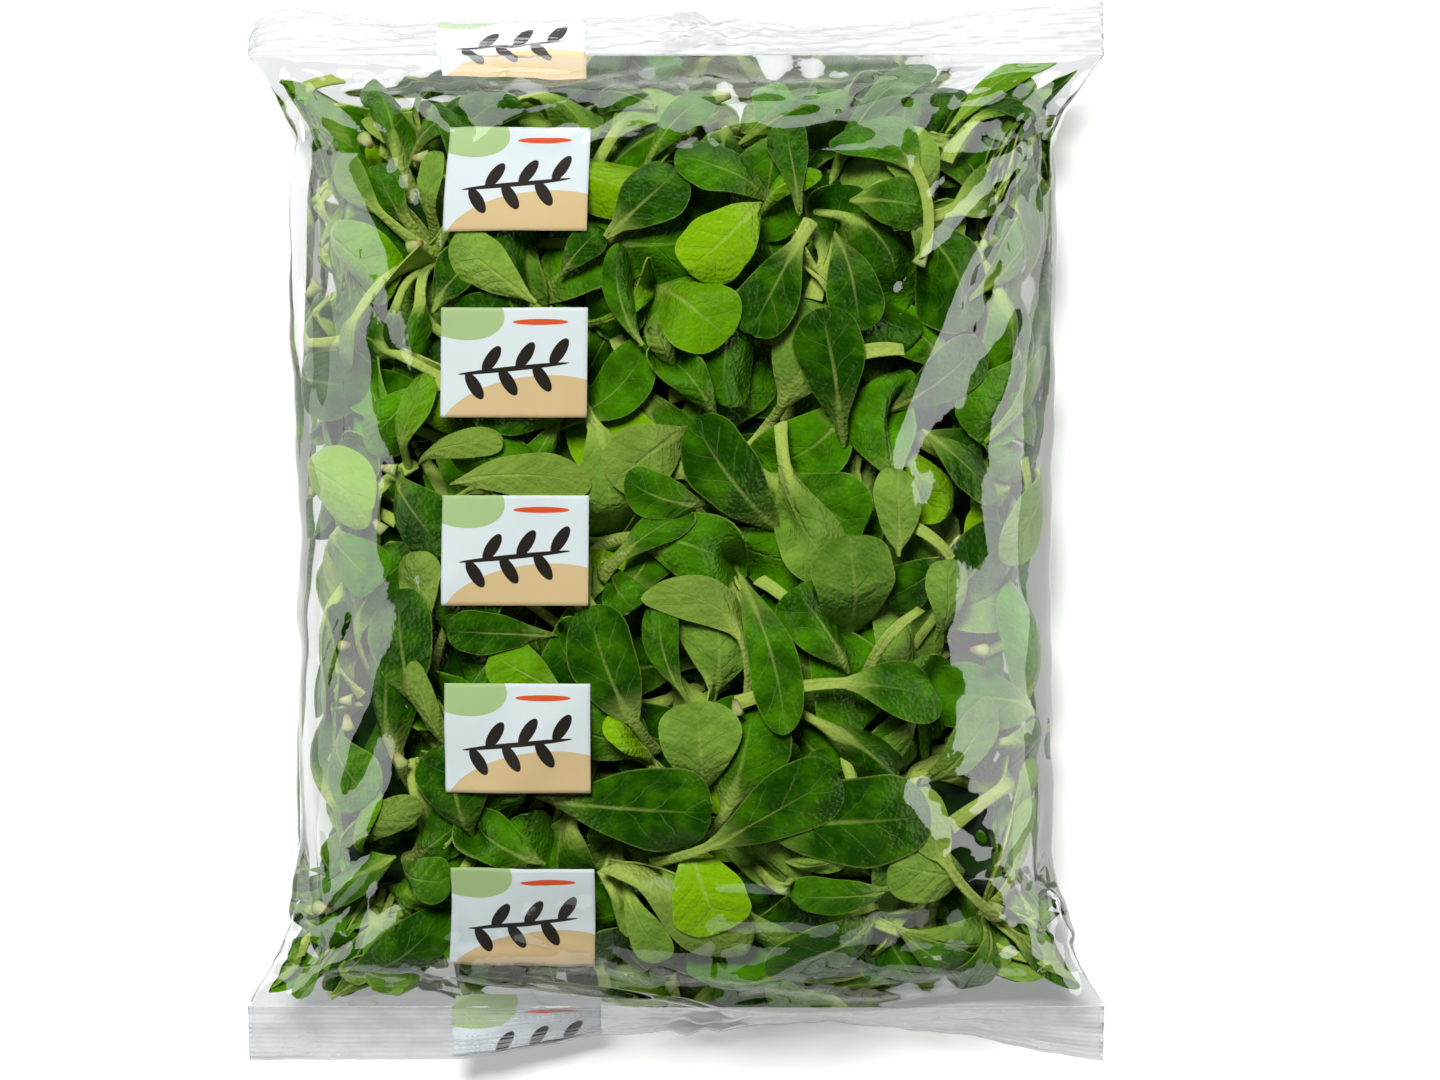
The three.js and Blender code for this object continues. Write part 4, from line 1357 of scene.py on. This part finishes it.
def crown_material():
    # The root collar: creamy white and juicy, brown and dry at the cut
    material, add = new_material("lamb's lettuce root collar")
    height = add("ShaderNodeAttribute", attribute_name="height").outputs["Fac"]
    place = add("ShaderNodeTexCoord").outputs["Object"]
    streaks = add("ShaderNodeTexNoise", place, 600.0, 2.0)
    colour = add("ShaderNodeValToRGB", height)
    stops = colour.color_ramp.elements
    stops[0].position, stops[0].color = 0.0, rgba("#98ae5e")
    stops[1].position, stops[1].color = 1.0, rgba("#8d7a45")
    middle = stops.new(0.6)
    middle.color = rgba("#b8be78")
    bump = add("ShaderNodeBump", named={"Height": streaks, "Strength": 0.4, "Distance": 0.0005})
    shader = add(
        "ShaderNodeBsdfPrincipled", named={"Base Color": colour, "Roughness": 0.42, "Normal": bump}
    )
    add("ShaderNodeOutputMaterial", shader)
    return material


def crown_tree(material):
    """Geometry nodes that set one small tapered collar on each point, turned and sized by attributes."""
    tree = bpy.data.node_groups.new("root_collars", "GeometryNodeTree")
    tree.interface.new_socket("Geometry", in_out="INPUT", socket_type="NodeSocketGeometry")
    radius = tree.interface.new_socket("Radius", in_out="INPUT", socket_type="NodeSocketFloat")
    radius.default_value = COLLAR_RADIUS
    tree.interface.new_socket("Geometry", in_out="OUTPUT", socket_type="NodeSocketGeometry")
    add = partial(add_node, tree)
    group_in = add("NodeGroupInput")
    collar = add(
        "GeometryNodeMeshCone",
        named={
            "Vertices": 12, "Side Segments": 5, "Fill Segments": 2, "Radius Top": COLLAR_TOP_RADIUS,
            "Radius Bottom": group_in.outputs["Radius"], "Depth": COLLAR_LENGTH
        }
    )
    place = add("GeometryNodeInputPosition")
    height = add("ShaderNodeSeparateXYZ", place).outputs["Z"]
    share = add("ShaderNodeMapRange", height, 0.0, COLLAR_LENGTH)
    marked = add(
        "GeometryNodeStoreNamedAttribute", named={"Geometry": collar, "Name": "height", "Value": share},
        data_type="FLOAT", domain="POINT"
    )
    axis = add("GeometryNodeInputNamedAttribute", "axis", data_type="FLOAT_VECTOR")
    size = add("GeometryNodeInputNamedAttribute", "size", data_type="FLOAT")
    turned = add("FunctionNodeAlignRotationToVector", named={"Vector": axis}, axis="Z")
    placed = add(
        "GeometryNodeInstanceOnPoints",
        named={
            "Points": group_in.outputs["Geometry"], "Instance": marked, "Rotation": turned, "Scale": size
        }
    )
    real = add("GeometryNodeRealizeInstances", placed)
    painted = add("GeometryNodeSetMaterial", named={"Geometry": real, "Material": material})
    add("NodeGroupOutput", painted)
    return tree, radius.identifier


class SALADBAG_OT_crowns(bpy.types.Operator):
    """Set a root collar where the stalks of each plant join"""

    bl_idname = "saladbag.crowns"
    bl_label = "Root Collars"

    def execute(self, context):
        bed = made["bed"]
        u, v, depth, size, turn = np.array(made["crowns"]).T
        points, normals = bed.surface.with_normals(u, v)
        lying = np.stack([np.cos(turn), np.sin(turn), 0.35 + 0 * turn], -1)
        lying -= normals * ((lying * normals).sum(-1, keepdims=True) - 0.25)
        lying = unit(lying)
        points = points - normals * depth[:, None] - lying * COLLAR_LENGTH / 2
        mesh = bpy.data.meshes.new("collar_places")
        mesh.from_pydata(points.tolist(), [], [])
        mesh.attributes.new("size", "FLOAT", "POINT").data.foreach_set("value", size.astype(np.float32))
        axis = mesh.attributes.new("axis", "FLOAT_VECTOR", "POINT")
        axis.data.foreach_set("vector", lying.astype(np.float32).ravel())
        places = bpy.data.objects.new("collar_places", mesh)
        context.scene.collection.objects.link(places)
        material = crown_material()
        tree, radius_input = crown_tree(material)
        modifier = places.modifiers.new("Collars", "NODES")
        modifier.node_group = tree
        modifier[radius_input] = COLLAR_RADIUS
        evaluated = places.evaluated_get(context.evaluated_depsgraph_get())
        real = bpy.data.meshes.new_from_object(evaluated)
        real.name = "root_collars"
        bpy.data.objects.remove(places)
        real.polygons.foreach_set("use_smooth", np.ones(len(real.polygons), bool))
        real.materials.clear()
        show(real, material)
        return {"FINISHED"}


# The middle of the heap, one form painted near-black green as the shade deep among the leaves: how far
# it ends from the seal lines, how far under the leaves it lies, and over what length its ends taper by how
# much
CORE_MARGIN = 0.046
CORE_GAP = 0.0015
CORE_TAPER = 0.04
CORE_DROP = 0.012


def shade_material():
    # Leaves packed deep inside, as painted shade: a near-black green with only a hint of their forms
    material, add = new_material("leaves in deep shade")
    place = add("ShaderNodeTexCoord").outputs["Object"]
    leaves = add("ShaderNodeTexVoronoi", place, named={"Scale": 70.0})
    colour = add("ShaderNodeValToRGB", leaves)
    # Painted shade: from dark green to near black
    stops = colour.color_ramp.elements
    stops[0].position, stops[0].color = 0.0, rgba("#1d4010")
    stops[1].position, stops[1].color = 0.8, rgba("#091706")
    bump = add("ShaderNodeBump", named={"Height": leaves, "Strength": 0.8, "Distance": 0.004})
    shader = add(
        "ShaderNodeBsdfPrincipled", named={"Base Color": colour, "Roughness": 0.6, "Normal": bump}
    )
    add("ShaderNodeOutputMaterial", shader)
    return material


class SALADBAG_OT_core(bpy.types.Operator):
    """Fill the middle of the heap with one lumpy form under the leaves, painted dark green as their shade
    """

    bl_idname = "saladbag.core"
    bl_label = "Heap Core"

    def execute(self, context):
        bed = made["bed"]
        rows, columns = 70, 120
        u = np.linspace(0, bed.surface.around, columns, endpoint=False)
        v = np.linspace(CORE_MARGIN, bed.surface.along - CORE_MARGIN, rows)
        v, u = np.meshgrid(v, u, indexing="ij")
        row, column = bed.cells(u, v)
        deep = bed.depth[row, column]
        for _ in range(4):
            deep = (deep + np.roll(deep, 1, 1) + np.roll(deep, -1, 1)) / 3
            deep[1:-1] = (deep[:-2] + deep[1:-1] + deep[2:]) / 3
        deep = np.maximum(deep, bed.depth[row, column]) + CORE_GAP
        from_end = np.minimum(v, bed.surface.along - v) - CORE_MARGIN
        end = np.clip(from_end / CORE_TAPER, 0, 1)
        deep = deep + CORE_DROP * (1 - np.sqrt(1 - (1 - end) ** 2))
        points, normals = bed.surface.with_normals(u, v)
        points = points - normals * np.minimum(deep, bed.room[row, column] + 0.004)[..., None]
        points[..., 0] *= 1 - 0.10 * np.clip(1 - bed.room[row, column] / 0.006, 0, 1)
        triangles = halves(grid_quads(rows, columns, wrap=True))
        caps = np.stack([points[0].mean(0), points[-1].mean(0)])
        body = np.concatenate([points.reshape(-1, 3), caps])
        ring = np.arange(columns)
        after = np.roll(ring, -1)
        low_cap = np.stack([after, ring, np.full(columns, rows * columns)], -1)
        last = (rows - 1) * columns
        high_cap = np.stack([ring + last, after + last, np.full(columns, rows * columns + 1)], -1)
        mesh = mesh_from("heap_core", body, np.concatenate([triangles, low_cap, high_cap]))
        show(mesh, shade_material())
        return {"FINISHED"}


# Stage
PHOTO_WIDTH_PX = 1440
MM_PER_PX = 0.26
BAG_CENTRE_PX = (676, 531)
PHOTO_CENTRE_PX = (720, 540)
CAMERA_HEIGHT = 1.25
SENSOR_WIDTH = 36.0


def add_area_light(name, place, aim, size, power):
    """A rectangle of light, its size given upwards and sideways."""
    light = bpy.data.lights.new(name, "AREA")
    light.shape = "RECTANGLE"
    light.size, light.size_y = size
    light.energy = power
    lamp = bpy.data.objects.new(name, light)
    lamp.location = place
    lamp.rotation_euler = (Vector(aim) - lamp.location).to_track_quat("-Z", "X").to_euler()
    bpy.context.scene.collection.objects.link(lamp)
    return lamp


class SALADBAG_OT_stage(bpy.types.Operator):
    """Set the white floor, the soft studio light and the camera that looks straight down"""

    bl_idname = "saladbag.stage"
    bl_label = "Floor, Light and Camera"

    def execute(self, context):
        scene = context.scene
        mesh = square_mesh("floor", 3.0)
        floor = bpy.data.objects.new("floor", mesh)
        floor.location.z = -0.0002
        scene.collection.objects.link(floor)
        material, add = new_material("white card")
        place = add("ShaderNodeTexCoord").outputs["Object"]
        grain = add("ShaderNodeTexNoise", place, 300.0)
        shade = add("ShaderNodeMapRange", grain, 0.0, 1.0, 0.66, 0.69)
        card = add("ShaderNodeBsdfDiffuse", shade)
        # The card gives off some light of its own, so that it stays pale in the shadow of the bag
        glow = add("ShaderNodeEmission", rgba("#ffffff"), 0.38)
        lit = add("ShaderNodeAddShader", card, glow)
        add("ShaderNodeOutputMaterial", lit)
        mesh.materials.append(material)

        # Upright soft boxes that stand on the table round the bag. The height of their upper edges sets
        # which slopes of the film mirror them, and so how wide the pale strips down both sides are. They
        # light only what is glossy, so that the leaves keep the deep shade that the photo shows
        boxes = (
            add_area_light("right_softbox", (0.80, 0.02, 0.39), (0.0, 0.02, 0.39), (0.76, 1.2), 9.6),
            add_area_light("left_softbox", (-0.85, 0.05, 0.34), (0.0, 0.05, 0.34), (0.63, 1.2), 6.4),
            add_area_light("far_softbox", (0.1, 0.95, 0.40), (0.1, 0.0, 0.40), (0.70, 1.0), 5.7),
            add_area_light("near_softbox", (0.1, -0.95, 0.37), (0.1, 0.0, 0.37), (0.62, 1.0), 2.0)
        )
        for box in boxes:
            box.visible_diffuse = False
        # A high light from the top and a little from the left, for the soft shadow under the lower seal
        key = add_area_light("key_light", (-0.28, 0.86, 1.70), (0.0, 0.0, 0.0), (0.54, 0.54), 49)
        key.visible_glossy = False

        world = bpy.data.worlds.new("studio")
        scene.world = world
        world.use_nodes = True
        sky = world.node_tree.nodes["Background"]
        sky.inputs["Color"].default_value = rgba("#ffffff")
        sky.inputs["Strength"].default_value = 0.10
        # The film mirrors the soft boxes and the floor, not the sky, as under a black ceiling
        world.cycles_visibility.glossy = False
        scene.view_settings.view_transform = "Standard"

        camera = bpy.data.objects.new("camera", bpy.data.cameras.new("camera"))
        view_x = (PHOTO_CENTRE_PX[0] - BAG_CENTRE_PX[0]) * MM_PER_PX * MM
        view_y = (BAG_CENTRE_PX[1] - PHOTO_CENTRE_PX[1]) * MM_PER_PX * MM
        camera.location = (view_x, view_y, CAMERA_HEIGHT)
        seen_width = PHOTO_WIDTH_PX * MM_PER_PX * MM
        seal_height = scene.salad_bag_sizes.seal_line_height
        camera.data.sensor_width = SENSOR_WIDTH
        camera.data.lens = SENSOR_WIDTH * (CAMERA_HEIGHT - seal_height) / seen_width
        scene.collection.objects.link(camera)
        scene.camera = camera
        return {"FINISHED"}


class SALADBAG_PT_panel(bpy.types.Panel):
    """Lists the steps that make the bag"""

    bl_label = "Salad Bag"
    bl_idname = "SALADBAG_PT_panel"
    bl_space_type = "VIEW_3D"
    bl_region_type = "UI"
    bl_category = "Salad Bag"

    def draw(self, context):
        layout = self.layout
        groups = (
            context.scene.salad_bag_sizes, context.scene.salad_leaf_sizes, context.scene.salad_bag_colours
        )
        for group in groups:
            box = layout.box()
            for name in group.__annotations__:
                box.prop(group, name)
        for step in STEPS:
            layout.operator(step.bl_idname)


STEPS = (
    SALADBAG_OT_stage, SALADBAG_OT_film, SALADBAG_OT_labels, SALADBAG_OT_leaves, SALADBAG_OT_crowns,
    SALADBAG_OT_core
)
CLASSES = (SaladBagSizes, SaladLeafSizes, SaladBagColours, *STEPS, SALADBAG_PT_panel)


def register():
    for cls in CLASSES:
        bpy.utils.register_class(cls)
    bpy.types.Scene.salad_bag_sizes = PointerProperty(type=SaladBagSizes)
    bpy.types.Scene.salad_leaf_sizes = PointerProperty(type=SaladLeafSizes)
    bpy.types.Scene.salad_bag_colours = PointerProperty(type=SaladBagColours)


def unregister():
    del bpy.types.Scene.salad_bag_sizes
    del bpy.types.Scene.salad_leaf_sizes
    del bpy.types.Scene.salad_bag_colours
    for cls in reversed(CLASSES):
        bpy.utils.unregister_class(cls)


def main():
    register()
    bpy.ops.saladbag.stage()
    bpy.ops.saladbag.film()
    bpy.ops.saladbag.labels()
    bpy.ops.saladbag.leaves()
    bpy.ops.saladbag.crowns()
    bpy.ops.saladbag.core()


if __name__ == "__main__":
    main()
